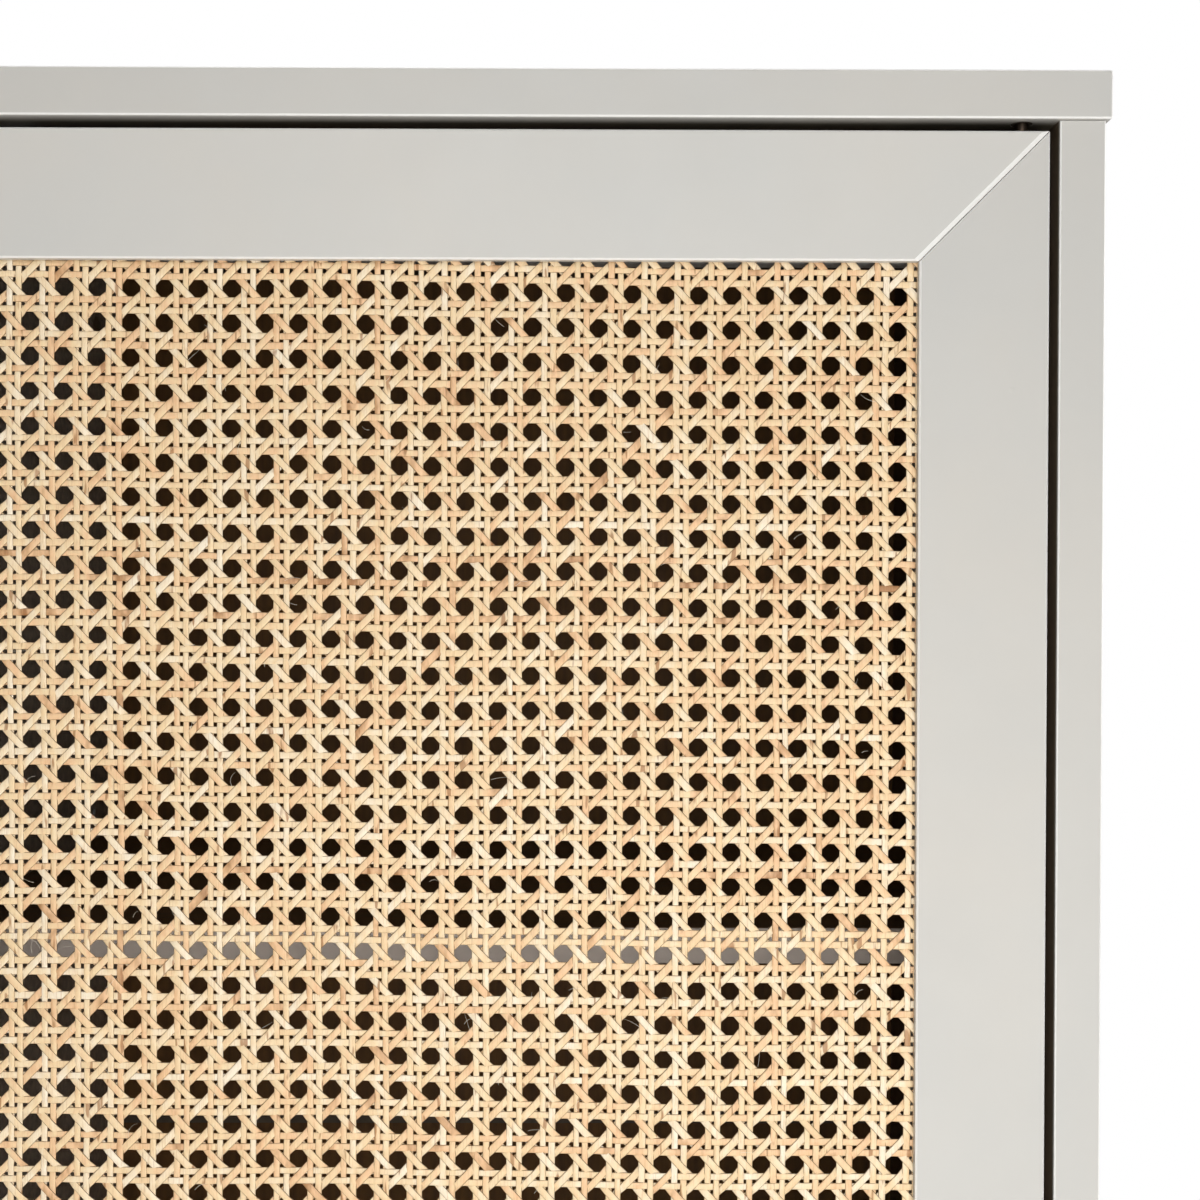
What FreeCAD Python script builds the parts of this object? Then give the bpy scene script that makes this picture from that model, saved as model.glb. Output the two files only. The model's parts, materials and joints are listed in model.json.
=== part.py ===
import FreeCAD, Part
import math
import os
import Sketcher

# Shoe cabinet with two inset doors. Each door is a mitred frame around a woven cane sheet.
# Frame of the part: +Z up, X to the right seen from the front, the front faces -Y.
# The origin is on the floor, under the middle of the whole cabinet, knobs included.

document = FreeCAD.newDocument("ShoeCabinet")
sheet = document.addObject("Spreadsheet::Sheet", "size")

DIMENSIONS = [
    # body
    ("body_width", 936),            # over the two side panels
    ("body_depth", 350),            # side panels, front to back
    ("body_height", 1000),          # underside of the body to the top surface
    ("leg_height", 110),            # floor to the underside of the body
    ("top_thickness", 18),
    ("top_overhang", 2),            # top panel beyond the sides and the front
    ("top_arris", 1),               # rounded edges of the top panel
    ("side_thickness", 17),
    ("bottom_thickness", 17),
    ("divider_thickness", 16),
    ("divider_setback", 22),        # front edge of the divider behind the front plane
    ("shelf_thickness", 15),
    ("shelf_setback", 60),          # front edge of a shelf behind the front plane
    ("shelf_play", 0.5),            # gap at each end of a shelf
    ("board_arris", 0.8),           # eased edges of the boards
    ("back_distance", 328),         # front plane to the face of the back panels
    ("back_thickness", 3),
    ("back_groove", 3.4),           # width of the groove for the back panels
    ("back_groove_depth", 7),
    ("back_play", 0.5),             # gap around a back panel in its groove
    ("back_joint_rise", 4),         # joint of the back panels above the middle of the inside
    ("back_joint_play", 0.8),       # edge of a back panel from the middle of the joint
    ("strip_height", 6),            # joint strip between the two back panels
    ("strip_web", 1),
    ("strip_flange", 1.2),
    # doors
    ("door_thickness", 20),
    ("frame_width", 48),
    ("side_gap", 3.6),
    ("top_gap", 4.0),
    ("bottom_gap", 4.0),
    ("meeting_gap", 3.0),
    ("mitre_gap", 0.12),            # half of the hair joint at each mitre
    ("mitre_ease", 1.7),            # bevel on the rails along the mitres: across the front face
    ("mitre_ease_depth", 0.8),      # and down the mitre
    ("stile_ease", 0.3),            # chamfer on the stiles along the mitres
    ("door_arris", 0.7),            # eased front edges of the door frame
    ("lip_thickness", 4),           # wood in front of the cane
    ("rebate_width", 10),
    ("cane_thickness", 2),
    ("cane_margin", 8),             # cane held behind the lip on each side
    ("bead_width", 9),
    ("bead_depth", 12),
    ("bead_play", 0.3),             # bead inside the edge of the rebate
    ("bead_end_play", 0.2),         # at each end of an upright bead
    ("biscuit_length", 24),
    ("biscuit_width", 20),
    ("biscuit_thickness", 4),
    ("biscuit_play", 0.2),
    ("screw_hole_radius", 1.6),     # small countersunk screws: clearance, pilot
    ("screw_pilot_radius", 1.35),
    # pivot hinges
    ("pivot_inset", 9),             # pivot axis from the outer edge of the door
    ("pivot_setback", 6.5),         # pivot axis behind the front plane
    ("pivot_radius", 2.5),
    ("pivot_play", 0.05),
    ("pivot_reach", 9),             # pin inside its bush
    ("bush_radius", 4),
    ("bush_length", 10.5),
    ("plate_length", 46),
    ("plate_width", 9),
    ("plate_thickness", 2.5),
    ("plate_overhang", 6),          # plate beyond its pin, towards the outer edge of the door
    ("plate_play", 0.1),
    ("plate_sink_radius", 3.3),
    ("plate_sink_depth", 1.7),
    ("plate_screw_radius", 1.5),
    ("plate_screw_length", 18),
    ("plate_screw_head", 3.1),
    # knobs
    ("knob_projection", 24),
    ("knob_radius", 13),
    ("knob_face_inset", 3),         # flat face inside the widest radius
    ("knob_rim_depth", 2),
    ("knob_rim_inset", 0.6),
    ("knob_crown_depth", 5),        # widest place behind the face
    ("knob_back_depth", 9),
    ("knob_back_inset", 1.5),
    ("knob_cove_depth", 13),
    ("knob_cove_inset", 6),
    ("knob_neck", 5),               # narrowest place in front of the door
    ("knob_neck_inset", 7),
    ("knob_foot", 2),
    ("knob_foot_inset", 5.2),
    ("knob_seat_inset", 5),
    ("knob_edge_inset", 24),        # knob centre from the meeting edge of the door
    ("knob_drop", 40),              # knob centre above the middle of the door
    ("knob_hole_radius", 2.2),      # through the stile
    ("knob_thread_radius", 1.9),    # in the knob
    ("knob_screw_radius", 1.8),
    ("knob_screw_reach", 12),       # screw inside the knob
    ("knob_screw_head", 4),
    ("knob_screw_head_height", 2.4),
    # catches
    ("catch_offset", 42),           # catch centre from the middle of the cabinet
    ("catch_width", 46),
    ("catch_height", 14),
    ("catch_depth", 15),
    ("strike_width", 38),
    ("strike_height", 9),
    ("strike_thickness", 1.2),
    ("catch_gap", 0.6),
    ("catch_face", 0.5),            # housing behind the face of its magnet
    ("catch_slot_shift", 0.1),
    ("catch_hole_depth", 8.5),
    ("catch_sink_radius", 3.1),
    ("catch_sink_end", 1.5),
    ("catch_sink_depth", 1.6),
    ("catch_screw_length", 22),
    ("catch_screw_head", 2.7),
    ("magnet_width", 24),
    ("magnet_depth", 9),
    ("magnet_height", 8),
    ("magnet_play", 0.2),
    ("small_screw_radius", 1.25),
    ("strike_hole_depth", 9.5),
    ("strike_sink_radius", 2.4),
    ("strike_sink_depth", 1.05),
    ("strike_screw_length", 10),
    ("strike_screw_head", 2.2),
    ("strike_drop", 1),             # strike plate below the top of the door
    ("bumper_radius", 2.4),
    ("bumper_thickness", 1.6),
    ("bumper_offset", 4.8),         # bumper centre from the middle of the divider
    ("bumper_inset", 60),           # bumper centre from the top or bottom of the door
    # fasteners
    ("fit_play", 0.1),              # radial play of fasteners in their holes
    ("hole_slack", 0.5),            # blind hole deeper than what goes into it
    ("channel_play", 0.5),          # radial play of a bolt in its channel
    ("pin_radius", 2.5),
    ("pin_depth", 7),
    ("pin_reach", 8),
    ("cam_radius", 7.5),
    ("cam_length", 12),
    ("cam_distance", 34),           # cam centre from the joint
    ("cam_bore_depth", 8.5),        # side bore below the face of the cam
    ("cam_bore_radius", 3.7),
    ("bolt_radius", 3),
    ("bolt_pilot", 11),
    ("bolt_waist", 0.8),            # shank thinner than the thread
    ("bolt_head_length", 3),
    ("bolt_end_gap", 2),            # end of the bolt from the middle of its cam
    ("dowel_radius", 4),
    ("dowel_length", 30),
    ("dowel_seat", 10),             # dowel inside the face of a board, the rest is in the other's edge
    ("divider_screw_radius", 2),
    ("divider_screw_length", 45),
    ("divider_screw_head", 4),
    ("divider_hole_radius", 2.1),
    ("divider_hole_depth", 30),
    ("divider_sink_radius", 4.2),
    ("divider_sink_depth", 2.3),
    ("panel_play", 1.5),            # shelves and divider in front of the back panels
    ("back_seat", 0.2),             # back panels behind the front of their groove
    # legs
    ("leg_top_width", 40),
    ("leg_foot_width", 26),
    ("leg_ease", 2),                # eased long corners of a leg
    ("leg_inset", 50),              # leg centre from the side and from the front or back
    ("leg_plate_width", 60),
    ("leg_plate_thickness", 3),
    ("glide_radius", 10),
    ("glide_thickness", 5),
    ("leg_bolt_radius", 4),
    ("leg_bolt_depth", 28),
    ("leg_screw_radius", 1.9),
    ("leg_screw_length", 13),
    ("leg_screw_head", 3.8),
    ("leg_hole_radius", 2.1),
    ("leg_sink_radius", 4.1),
    ("leg_sink_end", 2.0),
    ("leg_sink_depth", 2.1),
    ("leg_hole_depth", 11),
]

for row, (alias, number) in enumerate(DIMENSIONS, start=1):
    sheet.set(f"A{row}", alias.replace("_", " "))
    sheet.set(f"B{row}", str(number))
    sheet.setAlias(f"B{row}", alias)
document.recompute()

# Places worked out from the driving dimensions, as expressions for the document.
FRONT = "((size.knob_projection - size.body_depth) / 2)"
TOP_SURFACE = "(size.leg_height + size.body_height)"
TOP_UNDERSIDE = "(size.leg_height + size.body_height - size.top_thickness)"
FLOOR_TOP = "(size.leg_height + size.bottom_thickness)"
INNER_HALF = "(size.body_width / 2 - size.side_thickness)"
SIDE_MIDDLE = f"({INNER_HALF} + size.side_thickness / 2)"
SIDE_HEIGHT = "(size.body_height - size.top_thickness)"
INNER_HEIGHT = "(size.body_height - size.top_thickness - size.bottom_thickness)"
TIER_HEIGHT = f"(({INNER_HEIGHT} - 2 * size.shelf_thickness) / 3)"
DIVIDER_HALF = "(size.divider_thickness / 2)"
BAY_WIDTH = f"({INNER_HALF} - {DIVIDER_HALF})"
BAY_CENTRE = f"(({INNER_HALF} + {DIVIDER_HALF}) / 2)"
SHELF_WIDTH = f"({BAY_WIDTH} - 2 * size.shelf_play)"
SHELF_DEPTH = "(size.back_distance - size.shelf_setback - size.panel_play)"
DIVIDER_DEPTH = "(size.back_distance - size.divider_setback - size.panel_play)"
DOOR_WIDTH = f"({INNER_HALF} - size.side_gap - size.meeting_gap / 2)"
DOOR_HEIGHT = f"({INNER_HEIGHT} - size.top_gap - size.bottom_gap)"
DOOR_TOP = f"({TOP_UNDERSIDE} - size.top_gap)"
DOOR_BOTTOM = f"({FLOOR_TOP} + size.bottom_gap)"
DOOR_MIDDLE = f"(({DOOR_TOP} + {DOOR_BOTTOM}) / 2)"
DOOR_CENTRE = f"(size.meeting_gap / 2 + {DOOR_WIDTH} / 2)"
DOOR_EDGE = f"({INNER_HALF} - size.side_gap)"
PIVOT_X = f"({DOOR_EDGE} - size.pivot_inset)"
PIVOT_Y = f"({FRONT} + size.pivot_setback)"
DOOR_BACK = f"({FRONT} + size.door_thickness)"
OPENING_WIDTH = f"({DOOR_WIDTH} - 2 * size.frame_width)"
OPENING_HEIGHT = f"({DOOR_HEIGHT} - 2 * size.frame_width)"
KNOB_X = "(size.meeting_gap / 2 + size.knob_edge_inset)"
KNOB_Z = f"({DOOR_MIDDLE} + size.knob_drop)"
CAM_Y = ["50", "(size.body_depth - 60)"]
DOWEL_Y = ["85", "(size.body_depth - 95)"]
SHELF_PIN_Y = ["(size.shelf_setback + 32)", "(size.back_distance - 45)"]
SHELF_LEVELS = [f"({TIER_HEIGHT})", f"(2 * {TIER_HEIGHT} + size.shelf_thickness)"]
LEVEL_NAMES = ["lower", "upper"]
HOLE_STEPS = ["-32", "0", "32"]
# Places of the fittings, from the front plane or from a piece's middle
CATCH_FACE = "(size.door_thickness + size.strike_thickness + size.catch_gap)"
CATCH_SCREW_Y = f"({CATCH_FACE} + size.catch_face + size.catch_depth / 2)"
CATCH_BOTTOM = f"({TOP_UNDERSIDE} - size.catch_height)"
CATCH_SCREW_STEPS = ["-17", "17"]
DIVIDER_SCREW_Y = ["120", "(size.body_depth - 130)"]
LEG_X = "(size.body_width / 2 - size.leg_inset)"
LEG_Y = ["size.leg_inset", "(size.body_depth - size.leg_inset)"]
LEG_SCREW_STEPS = ["-22", "22"]
BACK_JOINT = f"({FLOOR_TOP} + {INNER_HEIGHT} / 2 + size.back_joint_rise)"
BACK_BOTTOM = f"({FLOOR_TOP} - size.back_groove_depth + size.back_play)"
BACK_TOP = f"({TOP_UNDERSIDE} + size.back_groove_depth - size.back_play)"
LEG_BOTTOM = "size.glide_thickness"
LEG_TOP = "(size.leg_height - size.leg_plate_thickness)"
LEG_LENGTH = f"({LEG_TOP} - {LEG_BOTTOM})"
BISCUIT_INSET = "((size.frame_width - size.rebate_width) / 2)"
PLATE_SCREW_STEPS = ["20", "32"]    # screws of a pivot plate, from its pin
STRIKE_SCREW_STEPS = ["-14", "14"]
STRIKE_Z = f"({DOOR_TOP} - size.strike_height / 2 - size.strike_drop)"
# Holes for the fittings: radius, depth
BOLT_HOLE = ("size.bolt_radius + size.fit_play", "size.bolt_pilot + size.hole_slack")
BOLT_CHANNEL = ("size.bolt_radius + size.channel_play", "size.cam_distance")
CAM_HOLE = ("size.cam_radius + size.fit_play", "size.cam_length + size.hole_slack")
DOWEL_FACE_HOLE = ("size.dowel_radius + size.fit_play", "size.dowel_seat + size.hole_slack")
DOWEL_EDGE_HOLE = (
    "size.dowel_radius + size.fit_play", "size.dowel_length - size.dowel_seat + size.hole_slack"
)
BUSH_HOLE = ("size.bush_radius + size.fit_play", "size.bush_length + size.hole_slack")
PIN_HOLE = ("size.pin_radius + size.fit_play", "size.pin_depth + size.hole_slack")
SIDES = [("left", -1), ("right", 1)]
DIRECTIONS = {
    "X": FreeCAD.Rotation(FreeCAD.Vector(0, 1, 0), 90),
    "-X": FreeCAD.Rotation(FreeCAD.Vector(0, 1, 0), -90),
    "Y": FreeCAD.Rotation(FreeCAD.Vector(1, 0, 0), -90),
    "-Y": FreeCAD.Rotation(FreeCAD.Vector(1, 0, 0), 90),
    "Z": FreeCAD.Rotation(),
    "-Z": FreeCAD.Rotation(FreeCAD.Vector(1, 0, 0), 180),
}

subparts = []


def place(piece, x, y, z, rotation=None):
    """Turn a piece, and bind its position to the dimensions."""
    if rotation is not None:
        piece.Placement = FreeCAD.Placement(FreeCAD.Vector(), rotation)
    piece.setExpression("Placement.Base.x", x)
    piece.setExpression("Placement.Base.y", y)
    piece.setExpression("Placement.Base.z", z)


def keep(piece, name):
    """Make a finished object one of the sub-parts, under the name of its node."""
    piece.Label = name
    subparts.append(piece)
    return piece


# Sketches and features of a body

def new_sketch(body, role, offset="0"):
    planes = [plane for plane in body.Origin.OriginFeatures if plane.Role == role]
    sketch = body.newObject("Sketcher::SketchObject", "Sketch")
    sketch.AttachmentSupport = [(planes[0], "")]
    sketch.MapMode = "FlatFace"
    sketch.setExpression("AttachmentOffset.Base.z", offset)
    return sketch


def pin_point(sketch, geometry, point, across, up):
    """Bind one point of a sketch to a distance across and a distance up."""
    for kind, distance in (("DistanceX", across), ("DistanceY", up)):
        index = sketch.addConstraint(Sketcher.Constraint(kind, -1, 1, geometry, point, 1.0))
        name = f"{kind}_{geometry}"
        sketch.renameConstraint(index, name)
        sketch.setExpression(f"Constraints.{name}", distance)


def draw_polygon(sketch, points):
    count = len(points)
    first = sketch.GeometryCount
    turns = [2 * math.pi * corner / count for corner in range(count)]
    corners = [FreeCAD.Vector(math.cos(turn), math.sin(turn), 0) for turn in turns]
    for corner in range(count):
        sketch.addGeometry(Part.LineSegment(corners[corner], corners[(corner + 1) % count]))
    for corner in range(count):
        following = first + (corner + 1) % count
        sketch.addConstraint(Sketcher.Constraint("Coincident", first + corner, 2, following, 1))
    for corner, (across, up) in enumerate(points):
        pin_point(sketch, first + corner, 1, across, up)


def draw_rectangle(sketch, left, bottom, right, top):
    draw_polygon(sketch, [(left, bottom), (right, bottom), (right, top), (left, top)])


def draw_circle(sketch, across, up, radius):
    circle = Part.Circle(FreeCAD.Vector(), FreeCAD.Vector(0, 0, 1), 1.0)
    geometry = sketch.addGeometry(circle)
    pin_point(sketch, geometry, 3, across, up)
    index = sketch.addConstraint(Sketcher.Constraint("Radius", geometry, 1.0))
    name = f"Radius_{geometry}"
    sketch.renameConstraint(index, name)
    sketch.setExpression(f"Constraints.{name}", radius)


def pad(body, sketch, length, reverse=False, both_ways=False):
    feature = body.newObject("PartDesign::Pad", "Pad")
    feature.Profile = sketch
    feature.setExpression("Length", length)
    feature.Reversed = reverse
    if both_ways:
        feature.SideType = "Symmetric"
    document.recompute()
    return feature


def pocket(body, sketch, length, reverse=False, both_ways=False):
    """Cut a pocket, and make sure that it took material away."""
    before = body.Shape.Volume
    feature = body.newObject("PartDesign::Pocket", "Pocket")
    feature.Profile = sketch
    feature.setExpression("Length", length)
    feature.Reversed = reverse
    if both_ways:
        feature.SideType = "Symmetric"
    document.recompute()
    if body.Shape.Volume > before - 1:
        raise ValueError(f"a pocket of {body.Label} cuts nothing")
    return feature


def drill(body, role, offset, centres, radius, depth, reverse=False):
    sketch = new_sketch(body, role, offset)
    for across, up in centres:
        draw_circle(sketch, across, up, radius)
    return pocket(body, sketch, depth, reverse)


def dress(body, kind, length, wanted):
    """Round (Fillet) or bevel (Chamfer) those edges of a body that wanted() picks."""
    base = body.Tip
    before = base.Shape.Volume
    names = [f"Edge{i}" for i, edge in enumerate(base.Shape.Edges, start=1) if wanted(edge)]
    if not names:
        raise ValueError(f"no edge of {body.Label} to dress")
    feature = body.newObject(f"PartDesign::{kind}", kind)
    feature.Base = (base, names)
    feature.setExpression("Radius" if kind == "Fillet" else "Size", length)
    document.recompute()
    if not 0.95 * before < feature.Shape.Volume < before:
        raise ValueError(f"the edges of {body.Label} came out wrong")
    return feature


def count_shallow(shape):
    """How many faces lean a little away from the front, as a shallow bevel does."""
    return sum(0.8 < abs(face.normalAt(0, 0).y) < 0.99 for face in shape.Faces)


def bevel(body, width, depth, wanted):
    """Bevel one front edge: width across the front face, depth down the other."""
    before = count_shallow(body.Shape)
    feature = dress(body, "Chamfer", width, wanted)
    feature.ChamferType = "Two distances"
    feature.setExpression("Size2", depth)
    document.recompute()
    if count_shallow(feature.Shape) == before:
        feature.FlipDirection = True
        document.recompute()
    if count_shallow(feature.Shape) != before + 1:
        raise ValueError(f"the bevel of {body.Label} came out wrong")
    return feature


def edge_lies(edge, axis, value):
    """True where every point of an edge has this coordinate."""
    box = edge.BoundBox
    low = {"x": box.XMin, "y": box.YMin, "z": box.ZMin}[axis]
    high = {"x": box.XMax, "y": box.YMax, "z": box.ZMax}[axis]
    return abs(low - value) < 0.01 and abs(high - value) < 0.01


# Primitives

def cylinder(radius, height, x, y, z, direction="Z"):
    piece = document.addObject("Part::Cylinder", "Cylinder")
    piece.setExpression("Radius", radius)
    piece.setExpression("Height", height)
    place(piece, x, y, z, DIRECTIONS[direction])
    return piece


def cone(radius_start, radius_end, height, x, y, z, direction="Z"):
    piece = document.addObject("Part::Cone", "Cone")
    piece.setExpression("Radius1", radius_start)
    piece.setExpression("Radius2", radius_end)
    piece.setExpression("Height", height)
    place(piece, x, y, z, DIRECTIONS[direction])
    return piece


def box(length, width, height, x, y, z):
    """A box that starts at its lowest corner."""
    piece = document.addObject("Part::Box", "Box")
    piece.setExpression("Length", length)
    piece.setExpression("Width", width)
    piece.setExpression("Height", height)
    place(piece, x, y, z)
    return piece


def centred_box(length, width, height, x, y, z):
    """A box that is centred across X and Z and starts at its lowest Y."""
    return box(length, width, height, f"{x} - {length} / 2", y, f"{z} - {height} / 2")


def fuse(pieces):
    joined = document.addObject("Part::MultiFuse", "Fuse")
    joined.Shapes = pieces
    return joined


def cut(base, tools):
    """Take tools away from a base piece, and make sure that it got smaller."""
    tool = tools[0] if len(tools) == 1 else fuse(tools)
    result = document.addObject("Part::Cut", "Cut")
    result.Base = base
    result.Tool = tool
    document.recompute()
    if result.Shape.Volume > base.Shape.Volume - 0.01:
        raise ValueError("a cut takes nothing away")
    return result


def group(pieces, name):
    """Equal small pieces, which stay separate solids in one node."""
    together = document.addObject("Part::Compound", "Group")
    together.Links = pieces
    return keep(together, name)


def moved(x, direction, distance, axis):
    """The expression x, moved along a direction such as -Y where axis is its letter."""
    if direction[-1] != axis:
        return x
    sign = "-" if direction[0] == "-" else "+"
    return f"{x} {sign} {distance}"


def screw(x, y, z, direction, radius, length, head):
    """A countersunk screw. Its head lies at x, y, z, and it points along direction."""
    shank = cylinder(radius, length, x, y, z, direction)
    top = cone(head, radius, f"({head} - {radius})", x, y, z, direction)
    return fuse([shank, top])


# Boards of the body

def pin_centres():
    """Holes for shelf pins on an upright board: depth from its front, height above the floor board."""
    return [
        (y, f"{level} - size.pin_radius + {step}")
        for y in SHELF_PIN_Y
        for level in SHELF_LEVELS
        for step in HOLE_STEPS
    ]


def ease_front(body):
    """Round the long front edges of a board, and leave its short ends square."""
    dress(body, "Fillet", "size.board_arris", lambda edge: edge_lies(edge, "y", 0) and edge.Length > 50)


def top_panel():
    body = document.addObject("PartDesign::Body", "top_panel")
    half = "(size.body_width / 2 + size.top_overhang)"
    depth = "(size.body_depth + size.top_overhang)"
    outline = new_sketch(body, "XY_Plane")
    draw_rectangle(outline, f"-{half}", "0", half, depth)
    pad(body, outline, "size.top_thickness")
    back = body.Shape.BoundBox.YMax
    dress(body, "Fillet", "size.top_arris", lambda edge: not edge_lies(edge, "y", back))
    seats = [(f"{sign} * {PIVOT_X}", "size.pivot_setback + size.top_overhang") for sign in (-1, 1)]
    drill(body, "XY_Plane", "0", seats, *BUSH_HOLE, True)
    rows = [f"-{SIDE_MIDDLE}", "0", SIDE_MIDDLE]
    bolts = [(x, f"{y} + size.top_overhang") for x in rows for y in CAM_Y]
    drill(body, "XY_Plane", "0", bolts, *BOLT_HOLE, True)
    dowels = [(x, f"{y} + size.top_overhang") for x in rows for y in DOWEL_Y]
    drill(body, "XY_Plane", "0", dowels, *DOWEL_FACE_HOLE, True)
    catches = [
        (f"{sign} * size.catch_offset + {step}", f"size.top_overhang + {CATCH_SCREW_Y}")
        for sign in (-1, 1)
        for step in CATCH_SCREW_STEPS
    ]
    drill(body, "XY_Plane", "0", catches, "size.screw_pilot_radius", "size.catch_hole_depth", True)
    groove = new_sketch(body, "XY_Plane")
    draw_rectangle(
        groove,
        f"-{INNER_HALF} - size.back_groove_depth",
        "size.top_overhang + size.back_distance",
        f"{INNER_HALF} + size.back_groove_depth",
        "size.top_overhang + size.back_distance + size.back_groove",
    )
    pocket(body, groove, "size.back_groove_depth", True)
    place(body, "0", f"{FRONT} - size.top_overhang", TOP_UNDERSIDE)
    return keep(body, "top_panel")


def side_panel(side, hand):
    """Local X is 0 on the inner face, and Z is 0 at the underside of the body."""
    body = document.addObject("PartDesign::Body", f"{side}_side_panel")
    outline = new_sketch(body, "YZ_Plane")
    draw_rectangle(outline, "0", "0", "size.body_depth", SIDE_HEIGHT)
    pad(body, outline, "size.side_thickness", reverse=hand < 0)
    dress(body, "Fillet", "size.board_arris", lambda edge: edge_lies(edge, "y", 0))
    inward = hand > 0
    pins = [(y, f"size.bottom_thickness + {z}") for y, z in pin_centres()]
    drill(body, "YZ_Plane", "0", pins, *PIN_HOLE, inward)
    cams = [(y, f"{SIDE_HEIGHT} - size.cam_distance") for y in CAM_Y]
    drill(body, "YZ_Plane", "0", cams, *CAM_HOLE, inward)
    bolts = [(y, "size.bottom_thickness / 2") for y in CAM_Y]
    drill(body, "YZ_Plane", "0", bolts, *BOLT_HOLE, inward)
    dowels = [(y, "size.bottom_thickness / 2") for y in DOWEL_Y]
    drill(body, "YZ_Plane", "0", dowels, *DOWEL_FACE_HOLE, inward)
    middle = f"{hand} * size.side_thickness / 2"
    channels = [(middle, y) for y in CAM_Y]
    drill(body, "XY_Plane", SIDE_HEIGHT, channels, *BOLT_CHANNEL)
    uprights = [(middle, y) for y in DOWEL_Y]
    drill(body, "XY_Plane", SIDE_HEIGHT, uprights, *DOWEL_EDGE_HOLE)
    groove = new_sketch(body, "YZ_Plane")
    back = "size.back_distance"
    draw_rectangle(groove, back, "0", f"{back} + size.back_groove", SIDE_HEIGHT)
    pocket(body, groove, "size.back_groove_depth", inward)
    place(body, f"{hand} * {INNER_HALF}", FRONT, "size.leg_height")
    return keep(body, f"{side}_side_panel")


def bottom_panel():
    body = document.addObject("PartDesign::Body", "bottom_panel")
    outline = new_sketch(body, "XY_Plane")
    draw_rectangle(outline, f"-{INNER_HALF}", "0", INNER_HALF, "size.body_depth")
    pad(body, outline, "size.bottom_thickness")
    ease_front(body)
    top = "size.bottom_thickness"
    seats = [(f"{sign} * {PIVOT_X}", "size.pivot_setback") for sign in (-1, 1)]
    drill(body, "XY_Plane", top, seats, *BUSH_HOLE)
    dowels = [("0", y) for y in DOWEL_Y]
    drill(body, "XY_Plane", top, dowels, *DOWEL_FACE_HOLE)
    cams = [(f"{sign} * ({INNER_HALF} - size.cam_distance)", y) for sign in (-1, 1) for y in CAM_Y]
    drill(body, "XY_Plane", "0", cams, *CAM_HOLE, True)
    screws = [("0", y) for y in DIVIDER_SCREW_Y]
    drill(body, "XY_Plane", "0", screws, "size.divider_hole_radius", "size.bottom_thickness", True)
    heads = [("0", y) for y in DIVIDER_SCREW_Y]
    drill(body, "XY_Plane", "0", heads, "size.divider_sink_radius", "size.divider_sink_depth", True)
    plates = [
        (f"{sign} * ({LEG_X} + {step_x})", f"{y} + {step_y}")
        for sign in (-1, 1)
        for y in LEG_Y
        for step_x in LEG_SCREW_STEPS
        for step_y in LEG_SCREW_STEPS
    ]
    drill(body, "XY_Plane", "0", plates, "size.leg_sink_end", "size.leg_hole_depth", True)
    for sign in (-1, 1):
        end = f"{sign} * {INNER_HALF}"
        channels = [(y, "size.bottom_thickness / 2") for y in CAM_Y]
        drill(body, "YZ_Plane", end, channels, *BOLT_CHANNEL, sign < 0)
        holes = [(y, "size.bottom_thickness / 2") for y in DOWEL_Y]
        drill(body, "YZ_Plane", end, holes, *DOWEL_EDGE_HOLE, sign < 0)
    groove = new_sketch(body, "XY_Plane", top)
    back = "size.back_distance"
    draw_rectangle(groove, f"-{INNER_HALF}", back, INNER_HALF, f"{back} + size.back_groove")
    pocket(body, groove, "size.back_groove_depth")
    place(body, "0", FRONT, "size.leg_height")
    return keep(body, "bottom_panel")


def centre_divider():
    """Local Y is 0 at its front edge, and Z is 0 on the floor board."""
    body = document.addObject("PartDesign::Body", "centre_divider")
    outline = new_sketch(body, "YZ_Plane")
    draw_rectangle(outline, "0", "0", DIVIDER_DEPTH, INNER_HEIGHT)
    pad(body, outline, "size.divider_thickness", both_ways=True)
    ease_front(body)
    pins = [(f"{y} - size.divider_setback", z) for y, z in pin_centres()]
    for sign in (-1, 1):
        face = f"{sign} * {DIVIDER_HALF}"
        drill(body, "YZ_Plane", face, pins, PIN_HOLE[0], "size.pin_depth + size.fit_play", sign < 0)
    setback = "size.divider_setback"
    cams = [(f"{y} - {setback}", f"{INNER_HEIGHT} - size.cam_distance") for y in CAM_Y]
    drill(body, "YZ_Plane", DIVIDER_HALF, cams, *CAM_HOLE)
    channels = [("0", f"{y} - {setback}") for y in CAM_Y]
    drill(body, "XY_Plane", INNER_HEIGHT, channels, *BOLT_CHANNEL)
    uprights = [("0", f"{y} - {setback}") for y in DOWEL_Y]
    drill(body, "XY_Plane", INNER_HEIGHT, uprights, *DOWEL_EDGE_HOLE)
    drill(body, "XY_Plane", "0", uprights, *DOWEL_EDGE_HOLE, True)
    screws = [("0", f"{y} - {setback}") for y in DIVIDER_SCREW_Y]
    drill(body, "XY_Plane", "0", screws, "size.divider_hole_radius", "size.divider_hole_depth", True)
    place(body, "0", f"{FRONT} + {setback}", FLOOR_TOP)
    return keep(body, "centre_divider")


def shelf(side, hand, level_name, level):
    body = document.addObject("PartDesign::Body", f"{side}_{level_name}_shelf")
    outline = new_sketch(body, "XY_Plane")
    draw_rectangle(outline, f"-{SHELF_WIDTH} / 2", "0", f"{SHELF_WIDTH} / 2", SHELF_DEPTH)
    pad(body, outline, "size.shelf_thickness")
    ease_front(body)
    place(body, f"{hand} * {BAY_CENTRE}", f"{FRONT} + size.shelf_setback", f"{FLOOR_TOP} + {level}")
    return keep(body, f"{side}_{level_name}_shelf")


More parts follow.
